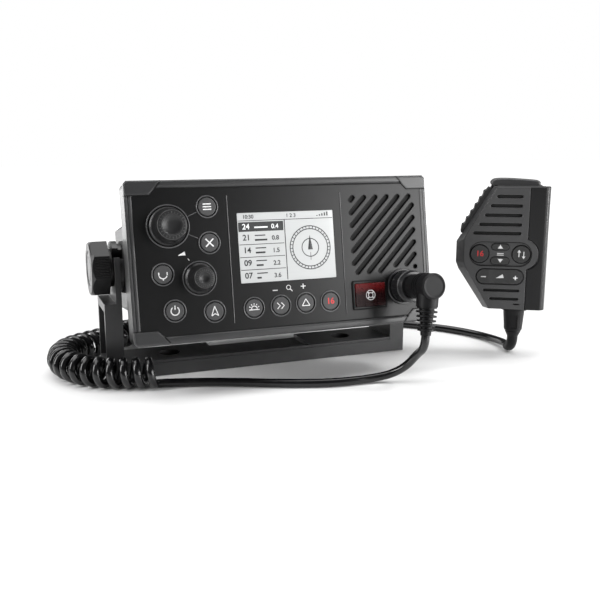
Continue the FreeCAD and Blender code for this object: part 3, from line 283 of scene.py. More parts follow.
def jacket_finish():
    """Glossy PVC: nearly black, with faint dull patches and the slight waviness of an extruded jacket."""
    finish = Finish("cord_jacket_finish")
    dull = finish.step(finish.noise(150.0, 4.0), 0.42, 0.7)
    colour = finish.blend(dull, (0.003, 0.003, 0.0035, 1.0), (0.007, 0.007, 0.0075, 1.0))
    wavy = finish.make("Bump", {}, {"Height": finish.noise(700.0), "Distance": 0.00003, "Strength": 0.5})
    return finish.done({"Base Color": colour, "Roughness": 0.16 + 0.08 * dull, "Coat Weight": 0.15,
                        "Coat Roughness": 0.08, "Specular IOR Level": 0.4, "Normal": wavy})


jacket = jacket_finish()
front_line, front_length = line_of(front_points)
front_lead = piece("front_lead_tube", [tube_along(front_line, cord_d / 2)], jacket, None)
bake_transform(front_lead)
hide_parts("front_lead")

curls = np.concatenate([[front_points[-1]], [(-0.0722, -0.0392, lying_z)], helix_points(),
                        [(-0.0362, 0.0852, lying_z)], [rear_points[0]]])
curly = smooth_curve("curly_cord_wire", curls, cord_d / 2)
curly.data.resolution_u = 3
curly.data.materials.append(jacket)
_, curl_length = line_of(curls)
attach(curly, "root")
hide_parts("curly_cord")

rear_lead = smooth_curve("rear_lead_wire", rear_points, cord_d / 2)
rear_lead.data.materials.append(jacket)
_, rear_length = line_of(rear_points)
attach(rear_lead, "root")
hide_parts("rear_lead")


# Setting: a pale satin board on which the radio stands, big soft lamps above and to the right, and a
# white surround that the camera sees.
def ground_finish():
    """Pale satin board, a little uneven in gloss, lit from within away from the middle."""
    finish = Finish("ground_finish")
    patchy = finish.step(finish.noise(6.0), 0.4, 0.6)
    colour = finish.blend(patchy, (0.9, 0.9, 0.9, 1.0), (0.93, 0.93, 0.93, 1.0))
    away = finish.make("VectorMath", {"operation": "LENGTH"}, {0: finish.place()}, output="Value")
    light = finish.blend(finish.step(away, 0.22, 1.1), (0.0, 0.0, 0.0, 1.0), (1.0, 1.0, 1.0, 1.0))
    return finish.done({"Base Color": colour, "Roughness": 0.2 + 0.06 * patchy,
                        "Specular IOR Level": 0.4, "Emission Color": light, "Emission Strength": 0.95})


def ground():
    """A level sheet: a grid of points over 8 m each way, just under the radio's feet."""
    span = np.linspace(-4.0, 4.0, 9)
    across, deep = np.meshgrid(span, span, indexing="ij")
    points = np.stack([across, deep, np.full_like(across, -0.0002)], axis=-1).reshape(-1, 3)
    index = np.arange(across.size).reshape(across.shape)
    quads = np.stack([index[:-1, :-1], index[1:, :-1], index[1:, 1:], index[:-1, 1:]], axis=-1)
    mesh = bpy.data.meshes.new("ground")
    mesh.from_pydata(points.tolist(), [], quads.reshape(-1, 4).tolist())
    mesh.materials.append(ground_finish())
    made = bpy.data.objects.new("ground", mesh)
    bpy.context.collection.objects.link(made)


def lamp(name, place, target, width, height, watts):
    """A flat soft lamp, turned so that its back points away from the target."""
    data = bpy.data.lights.new(name, "AREA")
    data.shape = "RECTANGLE"
    data.size = width
    data.size_y = height
    data.energy = watts
    made = bpy.data.objects.new(name, data)
    made.location = place
    made.rotation_euler = (Vector(target) - Vector(place)).to_track_quat("-Z", "Y").to_euler()
    bpy.context.collection.objects.link(made)


ground()
lamp("overhead", (0.0, 0.25, 1.4), (0.0, 0.0, 0.0), 1.8, 1.5, 26.0)
lamp("right_front", (0.76, -0.98, 0.3), (0.05, -0.06, 0.08), 0.6, 0.45, 8.0)
lamp("right_key", (0.8, -0.35, 0.9), (0.05, -0.05, 0.06), 0.25, 0.25, 5.0)
lamp("right_strip", (1.07, -0.52, 0.2), (0.17, -0.06, 0.07), 0.14, 0.7, 8.0)
lamp("left_strip", (-1.0, -0.1, 0.6), (-0.1, 0.0, 0.06), 0.2, 0.9, 10.0)
lamp("back_left", (-0.42, 1.0, 0.25), (-0.09, 0.0, 0.08), 0.5, 0.5, 2.0)
surround_light = 0.12
surround_seen = 1.0
surround = Finish("surround", bpy.data.worlds)
seen = surround.make("LightPath", output="Is Camera Ray")
strength = surround_light + (surround_seen - surround_light) * seen
glow = surround.make("Background", {}, {"Color": (1.0, 1.0, 1.0, 1.0), "Strength": strength})
bpy.context.scene.world = surround.join(glow, "World")


# Plug and socket: a right-angle connector moulded in soft black rubber with ribbed strain reliefs. Its
# knurled nut, of hard black plastic, screws on to a black flanged socket in the front.
def moulded(name, dark, light, rough, grain=2400.0, depth=0.00002, metal=0.0, edge=0.0003, edge_wear_and_sheen=None,
            specular=0.5):
    """Moulded, painted or plated surface. A broad noise drifts the colour from dark to light, and a finer
    one the roughness, by the more the rougher it is. A very fine noise raises the grain. When an edge colour
    is given, edges are rounded, a little shinier and painted paler: partly wear, partly painted highlight."""
    finish = Finish(name)
    cloudy = finish.step(finish.noise(38.0), 0.35, 0.68)
    scuffed = finish.step(finish.noise(420.0, 4.0, 0.65), 0.4, 0.75)
    colour = finish.blend(cloudy, (*dark, 1.0), (*light, 1.0))
    drift = 0.06 * rough ** 2
    rough = (rough - drift) + (2.0 * drift) * scuffed
    raised = {"Height": finish.noise(grain, 2.0), "Distance": depth, "Strength": 0.7}
    if edge_wear_and_sheen is not None:
        raised["Normal"], rim = finish.edges(edge)
        # Paler edges: partly wear, partly painted highlight along them.
        colour = finish.blend(rim * (0.5 + 0.1 * scuffed), colour, (*edge_wear_and_sheen, 1.0))
        rough = rough - 0.05 * rim
    return finish.done({"Base Color": colour, "Roughness": rough, "Metallic": metal,
                        "Specular IOR Level": specular, "Normal": finish.make("Bump", {}, raised)})


def dress(finish, *nodes):
    """Gives CAD nodes a finish through their material slots."""
    for node in nodes:
        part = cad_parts[node]
        if not part.material_slots:
            part.data.materials.append(finish)
        for slot in part.material_slots:
            slot.material = finish


rubber = moulded("plug_rubber_finish", (0.004, 0.004, 0.0045), (0.006, 0.006, 0.0065), 0.44, 1800.0,
                 0.00001, specular=0.2)
nut = moulded("plug_nut_finish", (0.007, 0.007, 0.008), (0.011, 0.011, 0.012), 0.28, 1800.0, 0.000004,
              edge_wear_and_sheen=(0.03, 0.03, 0.03))
dress(rubber, "plug_body", "plug_boot", "mic_boot")
dress(nut, "coupling_ring", "mic_socket")

# Bracket: a base with two slotted arms, screwed to the shelf. It is one moulding of glass-filled nylon,
# satin dark grey with a fine grain. Its edges are painted paler, partly wear and partly painted highlight.
bracket_finish = moulded("bracket_finish", (0.026, 0.026, 0.027), (0.033, 0.033, 0.034), 0.4, 1500.0,
                         0.00002, edge_wear_and_sheen=(0.05, 0.05, 0.052), specular=0.4)
dress(bracket_finish, "mounting_bracket")

# Clamp knobs: black octagonal knobs with a paler inset end plate. Each is moulded on to a threaded stud,
# which goes through the bracket and a rubber friction washer into the side of the case.
knob_grip = moulded("clamp_grip_finish", (0.005, 0.005, 0.0055), (0.008, 0.008, 0.0085), 0.38,
                    edge_wear_and_sheen=(0.05, 0.05, 0.05), specular=0.35)
plate_finish = moulded("clamp_plate_finish", (0.028, 0.028, 0.029), (0.038, 0.038, 0.039), 0.36, 1700.0)
washer_rubber = moulded("washer_rubber_finish", (0.012, 0.012, 0.012), (0.02, 0.02, 0.02), 0.7)
dress(knob_grip, "clamp_knob_left", "clamp_knob_right")
dress(washer_rubber, "friction_washers")
tilt_height = 0.0666
plate_x = 0.10645


def turned_plate(side):
    """End plate of a clamp knob: a shallow dome with a ring groove. Each radius of its profile goes once
    round the tilt axis, by the cosine of the turn in depth and by the sine in height."""
    profile = np.array([(0.0001, 0.0), (0.006, -0.00003), (0.0072, -0.00005), (0.0073, -0.0003),
                        (0.0077, -0.0003), (0.0078, -0.00007), (0.0094, -0.00012), (0.0099, -0.0003),
                        (0.0099, -0.0007), (0.0001, -0.0007)])
    turn = np.linspace(0.0, 2.0 * math.pi, 64, endpoint=False)
    across = side * (plate_x + profile[:, 1])[:, None] + 0.0 * turn
    deep = profile[:, 0][:, None] * np.cos(turn)
    up = tilt_height + profile[:, 0][:, None] * np.sin(turn)
    return skin(np.stack([across, deep, up], axis=-1))


for side, word in ((-1.0, "left"), (1.0, "right")):
    piece("clamp_plate_" + word, [turned_plate(side)], plate_finish, "clamp_knob_" + word)

# Front moulding: dark satin ABS with a fine spark texture, framed by paler satin bars, strips and corner
# caps, which are snapped on. Pale rings and lines round its keys and knobs are raised in the mould; the
# rings are painted pale as a painted highlight along those raised rims.
lean_back = math.radians(10.0)
front_depth = 0.061
panel_finish = moulded("panel_finish", (0.0026, 0.0027, 0.0029), (0.0036, 0.0037, 0.004), 0.3, 2600.0,
                       0.000008, edge_wear_and_sheen=(0.03, 0.03, 0.032), specular=0.3)
trim_finish = moulded("trim_finish", (0.021, 0.0213, 0.022), (0.025, 0.0253, 0.026), 0.31, 2200.0,
                      0.000002, edge_wear_and_sheen=(0.04, 0.0405, 0.041), edge=0.0014)
pale_line = moulded("pale_line_finish", (0.05, 0.05, 0.052), (0.07, 0.07, 0.072), 0.3, 2600.0, 0.000005)
dress(panel_finish, "front_panel")
dress(trim_finish, "top_trim", "bottom_trim", "side_trims", "corner_caps")


def on_panel(u, v, n):
    """Points u across, v up the face and n out of it. The face stands front_depth before the tilt axis,
    and is turned back about it."""
    deep = -front_depth - n
    return np.stack([u + 0.0 * n, deep * math.cos(lean_back) + v * math.sin(lean_back),
                     tilt_height - deep * math.sin(lean_back) + v * math.cos(lean_back)], axis=-1)


def stroke(line, width, place, n, thick=0.00006, closed=False):
    """A printed or moulded line: an oval section, as wide as the stroke and twice as high as thick, is
    carried along points (u, v) in millimetres, at the height n in metres."""
    line = np.asarray(line, float) * 0.001
    half = np.broadcast_to(np.asarray(width, float) * 0.0005, (len(line),))
    if closed:
        along = np.roll(line, -1, axis=0) - np.roll(line, 1, axis=0)
    else:
        along = np.gradient(line, axis=0)
    along /= np.linalg.norm(along, axis=1)[:, None]
    across = np.stack([-along[:, 1], along[:, 0]], axis=1)
    turn = np.linspace(0.0, 2.0 * math.pi, 8, endpoint=False)
    u = line[:, 0][:, None] + across[:, 0][:, None] * half[:, None] * np.cos(turn)
    v = line[:, 1][:, None] + across[:, 1][:, None] * half[:, None] * np.cos(turn)
    out = n + thick * np.sin(turn) + 0.0 * u
    return skin(place(u, v, out), closed)


def arc(u, v, radius, start=0.0, stop=360.0, steps=48):
    """Points about (u, v), from start to stop degrees: radius times the cosine and sine of the turn."""
    turn = np.radians(np.linspace(start, stop, steps, endpoint=stop - start < 359.9))
    return np.stack([u + radius * np.cos(turn), v + radius * np.sin(turn)], axis=1)


panel_n = -0.0005
rim_n = panel_n + 0.00045
key_places = {"key_menu": (-46.9, 29.7), "key_cancel": (-46.8, 9.7), "key_call": (-74.0, -6.4),
              "key_power": (-68.7, -26.7), "key_nav": (-46.4, -28.7), "key_light": (-23.3, -28.5),
              "key_scan": (-7.1, -28.4), "key_watch": (8.4, -28.0), "key_preset": (24.0, -28.1)}
knob_places = {"channel": (-69.3, 19.7), "volume": (-53.6, -9.7)}
key_ring = 6.05
knob_rings = {"channel": 11.65, "volume": 9.35}
# The pale rings over the raised rims round keys and knobs are painted highlight.
rings = [stroke(arc(u, v, key_ring), 0.62, on_panel, rim_n, 0.00012, True) for u, v in key_places.values()]
rings += [stroke(arc(*knob_places[knob], radius, steps=96), 0.7, on_panel, rim_n, 0.00015, True)
          for knob, radius in knob_rings.items()]
piece("face_rings", rings, pale_line, "radio")
line_n = panel_n + 0.00026
knob_gap, key_gap = 0.55, 0.65
face_lines = [stroke([(u, -36.0), (u, 35.9)], 0.4, on_panel, line_n) for u in (-35.3, 34.2)]
for key in ("key_menu", "key_cancel"):
    start = np.array(knob_places["channel"])
    stop = np.array(key_places[key])
    way = (stop - start) / np.linalg.norm(stop - start)
    ends = [start + way * (knob_rings["channel"] + knob_gap), stop - way * (key_ring + key_gap)]
    face_lines.append(stroke(ends, 0.4, on_panel, line_n))
piece("face_lines", face_lines, pale_line, "radio")
seam_n = panel_n + 0.0001
corner_seams = (((72.4, 43.9), (75.3, 40.4), 0.75, 0.00028, 0.00024),
                ((75.3, 40.4), (78.7, 36.95), 0.5, seam_n, 0.0001),
                ((78.7, 36.9), (91.2, 36.9), 0.55, 0.0, 0.00024))
seams = []
for up in (-1.0, 1.0):
    seams.append(stroke([(-75.2, up * 40.3), (75.2, up * 40.3)], 0.5, on_panel, seam_n, 0.0001))
    for side in (-1.0, 1.0):
        for start, stop, width, n, thick in corner_seams:
            seams.append(stroke(np.array([start, stop]) * (side, up), width, on_panel, n, thick))
seam_finish = moulded("seam_finish", (0.0015, 0.0015, 0.0015), (0.003, 0.003, 0.003), 0.6, specular=0.2)
piece("trim_seams", seams, seam_finish, "radio")


def slot_shade_and_gauze():
    """Raised dark outlines round the grille's slots, painted shade of the slot walls, and the dust gauze
    inside them. Each slot runs up at 45 degrees between the sides of the grille, or as far down as the
    socket lets it. Its outline is a closed line a little wider than the slot, and its gauze a wide line
    along the slot's middle. The last of the row is a round hole."""
    grille_left, grille_right, grille_low, grille_high = 41.2, 82.4, -12.2, 32.4
    first, pitch, count, hole_offset = 10.2, 7.55, 11, 93.25
    half, shade_outline_width, gauze_width, past = 1.45, 0.6, 2.4, 0.6
    socket_u, socket_v, socket_clear = 73.0, -22.7, 12.6 + half
    slot_shade_outlines = []
    gauze = []
    for i in range(count):
        offset = first + pitch * i
        low = max(grille_left, offset + grille_low)
        high = min(grille_right, offset + grille_high)
        while math.hypot(low - socket_u, low - offset - socket_v) < socket_clear:
            low += 0.1
        ends = np.concatenate([arc(high, high - offset, half, -45.0, 135.0, 12),
                               arc(low, low - offset, half, 135.0, 315.0, 12)])
        # The dark outline round each slot is painted shade of its walls.
        slot_shade_outlines.append(stroke(ends, shade_outline_width, on_panel, panel_n, 0.0001, True))
        line = np.linspace((low - past, low - offset - past), (high + past, high - offset + past), 8)
        gauze.append(stroke(line, gauze_width, on_panel, panel_n - 0.0011, 0.0001))
    hole = arc(grille_right, grille_right - hole_offset, half, steps=24)
    slot_shade_outlines.append(stroke(hole, 0.5, on_panel, panel_n, 0.00016, True))
    return slot_shade_outlines, gauze


# Near-black finish: painted shade lines round the grille's slots and the microphone's wells, and the cover
# frame's lip.
dark_line_finish = moulded("slot_lip_finish", (0.002, 0.002, 0.002), (0.004, 0.004, 0.004), 0.5, 2600.0, 0.000003,
                     specular=0.2)
slot_shade_outlines, gauze = slot_shade_and_gauze()
piece("grille_lips", slot_shade_outlines, dark_line_finish, "radio")
gauze_finish = moulded("gauze_finish", (0.007, 0.007, 0.007), (0.011, 0.011, 0.011), 0.7, 3000.0, 0.00003,
                       specular=0.25)
piece("grille_gauze", gauze, gauze_finish, "radio")

# Keys: round silicone caps with a dull grain, standing on one rubber mat behind the front. Their signs
# are printed in white, and one number in red. The plain marks round them are printed on the front.
key_rubber = moulded("key_rubber_finish", (0.03, 0.03, 0.031), (0.038, 0.038, 0.039), 0.48, 3200.0,
                     0.00002, edge_wear_and_sheen=(0.07, 0.07, 0.07))
white_ink = moulded("white_ink_finish", (0.6, 0.6, 0.6), (0.74, 0.74, 0.74), 0.55)
red_ink = moulded("red_ink_finish", (0.5, 0.018, 0.02), (0.62, 0.03, 0.03), 0.5)
dress(key_rubber, *key_places)
print_n = 0.00002
key_rise = 0.0006
key_n = panel_n + key_rise + print_n


def figures(text, size, u, v, n, place):
    """Numbers in the built-in face, made a flat mesh about (u, v) and then set on a surface."""
    curve = bpy.data.curves.new("figures", "FONT")
    curve.body = text
    curve.size = size * 0.001
    curve.align_x = "CENTER"
    curve.align_y = "CENTER"
    curve.extrude = 0.00004
    curve.offset = 0.00002 * size
    holder = bpy.data.objects.new("figures", curve)
    bpy.context.collection.objects.link(holder)
    bpy.context.view_layer.update()
    flat = bpy.data.meshes.new_from_object(holder)
    points = np.empty(len(flat.vertices) * 3)
    flat.vertices.foreach_get("co", points)
    points = points.reshape(-1, 3)
    faces = [list(face.vertices) for face in flat.polygons]
    bpy.data.objects.remove(holder)
    return place(points[:, 0] + u * 0.001, points[:, 1] + v * 0.001, n + points[:, 2]), faces


def spokes(u, v, inner, outer, angles):
    """Short lines away from (u, v), each from an inner to an outer radius at an angle in degrees."""
    turn = np.radians(np.asarray(angles, float))
    way = np.stack([np.cos(turn), np.sin(turn)], axis=1)
    return np.stack([(u, v) + way * inner, (u, v) + way * outer], axis=1)


def signs():
    """The strokes of each key's sign and their widths, in millimetres from the key's centre."""
    return {
        "key_menu": [([(-2.4, v), (2.4, v)], 0.6) for v in (1.5, 0.0, -1.5)],
        "key_cancel": [([(-2.2, -2.2), (2.2, 2.2)], 0.75), ([(-2.2, 2.2), (2.2, -2.2)], 0.75)],
        "key_call": [(arc(0, 0, 2.3, 200, 340, 16), 0.6), ([(-2.3, 1.2), (-2.3, -0.4)], 0.6),
                     ([(2.3, 1.2), (2.3, -0.4)], 0.6), ([(0, -2.2), (0, -3.3)], 0.6)],
        "key_power": [(arc(0, 0, 2.3, 125, 415, 32), 0.6), ([(0, 0.6), (0, 3.0)], 0.6)],
        "key_nav": [([(0, 3.0), (-2.0, -2.4)], 0.5), ([(0, 3.0), (2.0, -2.4)], 0.5),
                    ([(-2.0, -2.4), (0, -1.2)], 0.5), ([(2.0, -2.4), (0, -1.2)], 0.5)],
        "key_light": [(arc(0, -0.6, 1.7, 0, 180, 20), 0.5), ([(-3.0, -1.0), (3.0, -1.0)], 0.5)]
        + [(line, 0.45) for line in spokes(0, -0.6, 2.4, 3.3, (25, 58, 90, 122, 155))],
        "key_scan": [([(x, 1.8), (x + 1.8, 0.0), (x, -1.8)], 0.55) for x in (-2.3, 0.2)],
        "key_watch": [([(-2.4, -1.5), (0, 2.4)], 0.5), ([(0, 2.4), (2.4, -1.5)], 0.5),
                      ([(-2.4, -1.5), (2.4, -1.5)], 0.5)],
    }


for key, strokes in signs().items():
    u, v = key_places[key]
    lines = [stroke(np.asarray(line) + (u, v), width, on_panel, key_n) for line, width in strokes]
    piece(key + "_sign", lines, white_ink, key)
u, v = key_places["key_preset"]
piece("key_preset_sign", [figures("16", 5.0, u, v, key_n, on_panel)], red_ink, "key_preset")
minus = [([(-11.4, -19.4), (-8.4, -19.4)], 0.55, False)]
plus = [([(6.0, -18.1), (9.0, -18.1)], 0.55, False), ([(7.5, -19.6), (7.5, -16.6)], 0.55, False)]
lens = [(arc(-1.6, -18.2, 1.25, steps=24), 0.4, True), ([(-0.6, -19.2), (0.7, -20.5)], 0.55, False)]
wedge = [([(-64.9, 3.5), (-60.9, 4.5)], [0.1, 2.2], False), ([(-59.6, 1.6), (-58.8, 0.4)], 0.3, False)]
marks = [stroke(line, width, on_panel, panel_n, closed=closed)
         for line, width, closed in minus + plus + lens + wedge]
piece("face_marks", marks, white_ink, "radio")

# Rotary knobs: soft-touch caps with a flared skirt, a rounded lip, a dished top and moulded ticks,
# each pressed on a steel shaft of an encoder.
knob_finish = moulded("knob_finish", (0.009, 0.009, 0.0095), (0.012, 0.012, 0.0125), 0.33,
                      depth=0.0000005, specular=0.36)
tick_finish = moulded("knob_tick_finish", (0.04, 0.04, 0.04), (0.05, 0.05, 0.05), 0.45)
shaft_steel = moulded("shaft_steel_finish", (0.4, 0.4, 0.4), (0.5, 0.5, 0.5), 0.3, metal=1.0)
dress(shaft_steel, "channel_shaft", "volume_shaft")


def softened(profile, rounds=3):
    """Corners cut off again and again at a quarter and three quarters of each side, ends kept."""
    for _ in range(rounds):
        first = 0.75 * profile[:-1] + 0.25 * profile[1:]
        second = 0.25 * profile[:-1] + 0.75 * profile[1:]
        cut = np.stack([first, second], axis=1).reshape(-1, profile.shape[1])
        profile = np.concatenate([profile[:1], cut[1:-1], profile[-1:]])
    return profile


def knob_cap(base, top, tip, dish):
    """Radius and height of a knob's outline from the dish's middle to the underside, in millimetres: base
    is the skirt's radius, top the radius and tip the height of the flat top, dish the dished part's."""
    waist = top + 0.5 * (base - top)
    return softened(np.array([
        (0.01, tip - 0.95), (dish * 0.5, tip - 0.9), (dish * 0.93, tip - 0.35), (dish, tip + 0.02),
        (dish + 0.8, tip + 0.02), (top - 0.3, tip - 0.02), (top + 0.3, tip - 0.2), (top + 0.55, tip - 1.4),
        (top + 0.55, tip - 3.4), (waist, 2.1), (base - 0.5, 0.9), (base, 0.5), (base, -0.4), (base, -1.35),
        (base - 0.3, -1.4), (0.01, -1.4)]))


for name, base, top, tip, dish in (("channel", 10.6, 7.8, 10.9, 5.4), ("volume", 8.6, 5.4, 11.4, 3.0)):
    u, v = knob_places[name]
    outline = knob_cap(base, top, tip, dish) * 0.001
    turn = np.linspace(0.0, 2.0 * math.pi, 96, endpoint=False)
    cap = on_panel(u * 0.001 + outline[:, 0][:, None] * np.cos(turn),
                   v * 0.001 + outline[:, 0][:, None] * np.sin(turn), outline[:, 1][:, None] + 0.0 * turn)
    made = piece(name + "_knob_cap", [skin(cap)], knob_finish, name + "_knob", 0.9)
    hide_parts(name + "_knob")
    ticks = [stroke(line, 0.35, on_panel, tip * 0.001, 0.00005)
             for line in spokes(u, v, dish + 0.9, top - 0.5, np.arange(0, 360, 15))]
    ticks += [stroke(arc(u, v, radius, steps=72), 0.25, on_panel, (tip - 0.02) * 0.001, 0.00006, True)
              for radius in (dish + 0.45, top + 0.1)]
    piece(name + "_knob_ticks", ticks, tick_finish, name + "_knob")


# Display: a pale reflective liquid crystal behind a clear window that is bonded into the front. It
# shows a plain dial, rows of numbers and a level scale in dark segments, and one row reversed.
def display_finish():
    """Pale grey screen with a faint grid of picture points and a clear, glossy face. It glows faintly in its
    own colour: painted light.
    """
    finish = Finish("display_finish")
    cloudy = finish.step(finish.noise(30.0), 0.3, 0.7)
    cells = finish.make("TexBrick", {"offset": 0.0}, {"Vector": finish.place(), "Scale": 1800.0,
                        "Color1": (1, 1, 1, 1), "Color2": (1, 1, 1, 1), "Mortar": (0, 0, 0, 1),
                        "Mortar Size": 0.02, "Brick Width": 1.0, "Row Height": 1.0})
    colour = finish.blend(cloudy, (0.4, 0.41, 0.41, 1.0), (0.43, 0.44, 0.44, 1.0))
    colour = finish.blend(0.04 * finish.make("RGBToBW", {}, {0: cells}), colour, (0.9, 0.9, 0.9, 1.0))
    # The emission is painted light: the screen glows faintly in its own colour.
    return finish.done({"Base Color": colour, "Roughness": 0.3 + 0.05 * cloudy, "Coat Weight": 0.4,
                        "Coat Roughness": 0.04, "Emission Color": colour, "Emission Strength": 0.2})


screen = display_finish()
segment_ink = moulded("segment_finish", (0.012, 0.013, 0.014), (0.018, 0.019, 0.02), 0.4)
screen_ink = moulded("screen_light_finish", (0.7, 0.71, 0.71), (0.78, 0.79, 0.79), 0.4)
dress(screen, "display_window")
dress(segment_ink, "display_module")
screen_n = panel_n - 0.00012
white_n = screen_n + 0.00004
left, middle, right = -29.4, -2.4, 28.6
name_u, bar_u, range_u = -25.0, -20.0, -7.6
ink = [stroke([(left, 21.1), (right, 21.1)], 0.35, on_panel, screen_n),
       figures("10:30", 3.0, -23.4, 23.2, screen_n, on_panel),
       figures("1 2 3", 3.0, 2.6, 23.2, screen_n, on_panel),
       stroke([(left, 17.6), (middle, 17.6)], 5.4, on_panel, screen_n)]
ink += [stroke([(left, v), (middle, v)], 0.35, on_panel, screen_n) for v in (7.6, 0.4, -6.8)]
ink.append(stroke([(-1.6, -13.6), (-1.6, 21.2)], 0.5, on_panel, screen_n))
dial = (13.6, 4.2)
scale_inner, scale_outer = 10.9, 12.6
ink += [stroke(arc(*dial, radius, steps=72), 0.5, on_panel, screen_n, closed=True)
        for radius in (scale_outer, scale_inner, 5.2)]
ink += [stroke(line, 0.4, on_panel, screen_n)
        for line in spokes(*dial, scale_inner, scale_outer, np.arange(0, 360, 10))]
ink += [stroke([(dial[0], -3.0), (dial[0], 1.4)], 0.3, on_panel, screen_n),
        stroke([(dial[0], 3.0), (dial[0], 11.6)], [3.0, 0.05], on_panel, screen_n),
        stroke(arc(*dial, 0.5, steps=16), 1.0, on_panel, screen_n, closed=True)]
for row, (name, far) in enumerate((("21", "0.8"), ("14", "1.5"), ("09", "2.2"), ("07", "3.6"))):
    height = 11.4 - 7.2 * row
    bar_end = bar_u + 7.4 - 1.6 * row
    ink += [figures(name, 4.6, name_u, height, screen_n, on_panel),
            figures(far, 3.6, range_u, height - 0.6, screen_n, on_panel),
            stroke([(bar_u, height - 1.4), (bar_end, height - 1.4)], 1.0, on_panel, screen_n),
            stroke([(bar_u, height + 1.2), (bar_u + 6.4, height + 1.2)], 0.6, on_panel, screen_n)]
for i in range(5):
    level_u = 19.0 + 1.6 * i
    ink.append(stroke([(level_u, 22.4), (level_u, 22.9 + 0.45 * i)], 0.8, on_panel, screen_n))
piece("screen_segments", ink, segment_ink, "radio")
clears = [figures("24", 4.4, name_u, 17.6, white_n, on_panel),
          figures("0.4", 3.6, range_u, 17.4, white_n, on_panel),
          stroke([(bar_u, 17.2), (bar_u + 8.0, 17.2)], 1.0, on_panel, white_n)]
piece("screen_clears", clears, screen_ink, "radio")


# Distress key: a bright red moulded key under a dark red clear cover on a spring hinge. A life ring is
# printed on the cover, which closes into a raised black frame.
def tinted_finish():
    """Dark red clear plastic with faint moulding haze. Its colour is painted redder towards its top: painted
    light, as if light came through it from above."""
    finish = Finish("red_clear_finish")
    haze = finish.step(finish.noise(240.0), 0.4, 0.7)
    height = finish.make("SeparateXYZ", {}, {0: finish.place()}, output="Z")
    # Painted light: redder towards the top.
    painted_top_light = finish.step(height, 0.0515, 0.0572)
    colour = finish.blend(painted_top_light, (0.012, 0.0016, 0.002, 1.0), (0.11, 0.005, 0.006, 1.0))
    return finish.done({"Base Color": colour, "Roughness": 0.36 + 0.008 * haze,
                        "Specular IOR Level": 0.16, "Alpha": 0.86 + 0.08 * haze})


red_clear = tinted_finish()
red_plastic = moulded("red_plastic_finish", (0.42, 0.01, 0.012), (0.55, 0.016, 0.018), 0.35)
dress(red_clear, "distress_cover")
dress(red_plastic, "distress_button")
cover_n = panel_n + 0.0016
cover = (50.0, -26.3)
ring_inner, ring_outer = 1.5, 2.9
life_ring = [stroke(arc(*cover, radius, steps=40), 0.45, on_panel, cover_n, closed=True)
             for radius in (ring_outer, ring_inner)]
life_ring += [stroke(line, 0.8, on_panel, cover_n)
              for line in spokes(*cover, ring_inner, ring_outer, (45, 135, 225, 315))]
piece("cover_sign", life_ring, white_ink, "distress_cover")


def round_box(left, right, low, high, radius, steps):
    """Closed outline of a box with round corners: a quarter circle about the point one radius in from
    each corner, from the upper right one on against the clock."""
    centres = ((right - radius, high - radius), (left + radius, high - radius),
               (left + radius, low + radius), (right - radius, low + radius))
    return np.concatenate([arc(u, v, radius, 90.0 * i, 90.0 * i + 90.0, steps)
                           for i, (u, v) in enumerate(centres)])


frame_line = round_box(39.1, 60.9, -34.4, -17.6, 0.9, 8)
piece("cover_frame_lip", [stroke(frame_line, 0.9, on_panel, panel_n + 0.0008, 0.0003, True)], dark_line_finish,
      "radio")


# Speaker, boards and seals: a woven cloth behind the slots, a paper cone in a steel basket, a green
# board with copper tracks, nickel-plated parts and rubber seals, all screwed or pressed in behind the
# front. The microphone's board and capsule are faced with the same cloth.
def cloth_finish(name):
    """Fine dark grey weave: the product of a wave across and a wave up."""
    finish = Finish(name)
    warp = finish.make("TexWave", {"bands_direction": "X"}, {"Vector": finish.place(), "Scale": 900.0})
    weft = finish.make("TexWave", {"bands_direction": "Z"}, {"Vector": finish.place(), "Scale": 900.0})
    weave = warp * weft
    colour = finish.blend(weave, (0.05, 0.05, 0.05, 1.0), (0.13, 0.13, 0.13, 1.0))
    raised = finish.make("Bump", {}, {"Height": weave, "Distance": 0.00005, "Strength": 0.6})
    return finish.done({"Base Color": colour, "Roughness": 0.85 - 0.1 * weave, "Normal": raised})


def board_finish():
    """Green lacquer over copper tracks: the joints of a brick pattern show the copper."""
    finish = Finish("board_finish")
    tracks = finish.make("TexBrick", {}, {"Vector": finish.place(), "Scale": 220.0, "Mortar Size": 0.03,
                         "Color1": (0, 0, 0, 1), "Color2": (0, 0, 0, 1), "Mortar": (1, 1, 1, 1)})
    share = finish.make("RGBToBW", {}, {0: tracks})
    colour = finish.blend(share, (0.008, 0.07, 0.025, 1.0), (0.05, 0.16, 0.05, 1.0))
    return finish.done({"Base Color": colour, "Roughness": 0.35 + 0.2 * share})


cloth = cloth_finish("speaker_cloth_finish")
board = board_finish()
cone = moulded("speaker_cone_finish", (0.02, 0.02, 0.02), (0.035, 0.035, 0.034), 0.8, 900.0, 0.00005)
nickel = moulded("nickel_finish", (0.5, 0.48, 0.44), (0.62, 0.6, 0.56), 0.26, metal=1.0)
mat_rubber = moulded("keypad_mat_finish", (0.12, 0.12, 0.13), (0.17, 0.17, 0.18), 0.7)
dress(cloth, "speaker_cloth")
dress(board, "main_board")
dress(cloth, "mic_board", "mic_capsule")
dress(cone, "speaker", "mic_speaker")
dress(nickel, "antenna_socket", "rotary_encoders")
dress(mat_rubber, "keypad_mat")
dress(washer_rubber, "front_seal")

# Rear housing: a powder-coated aluminium casting with cooling fins, screwed to the front from behind.
# Its black sockets and the zinc-plated screws stand on its back.
housing = moulded("housing_finish", (0.028, 0.028, 0.029), (0.036, 0.036, 0.037), 0.42, 1100.0, 0.00002,
                  edge_wear_and_sheen=(0.09, 0.09, 0.09))
socket_black = moulded("socket_black_finish", (0.014, 0.014, 0.014), (0.022, 0.022, 0.022), 0.45)
zinc = moulded("zinc_finish", (0.3, 0.3, 0.31), (0.42, 0.42, 0.43), 0.34, metal=1.0)
dress(housing, "rear_housing")
dress(socket_black, "accessory_sockets")
dress(zinc, "housing_screws", "mic_screws", "hanger_stud")

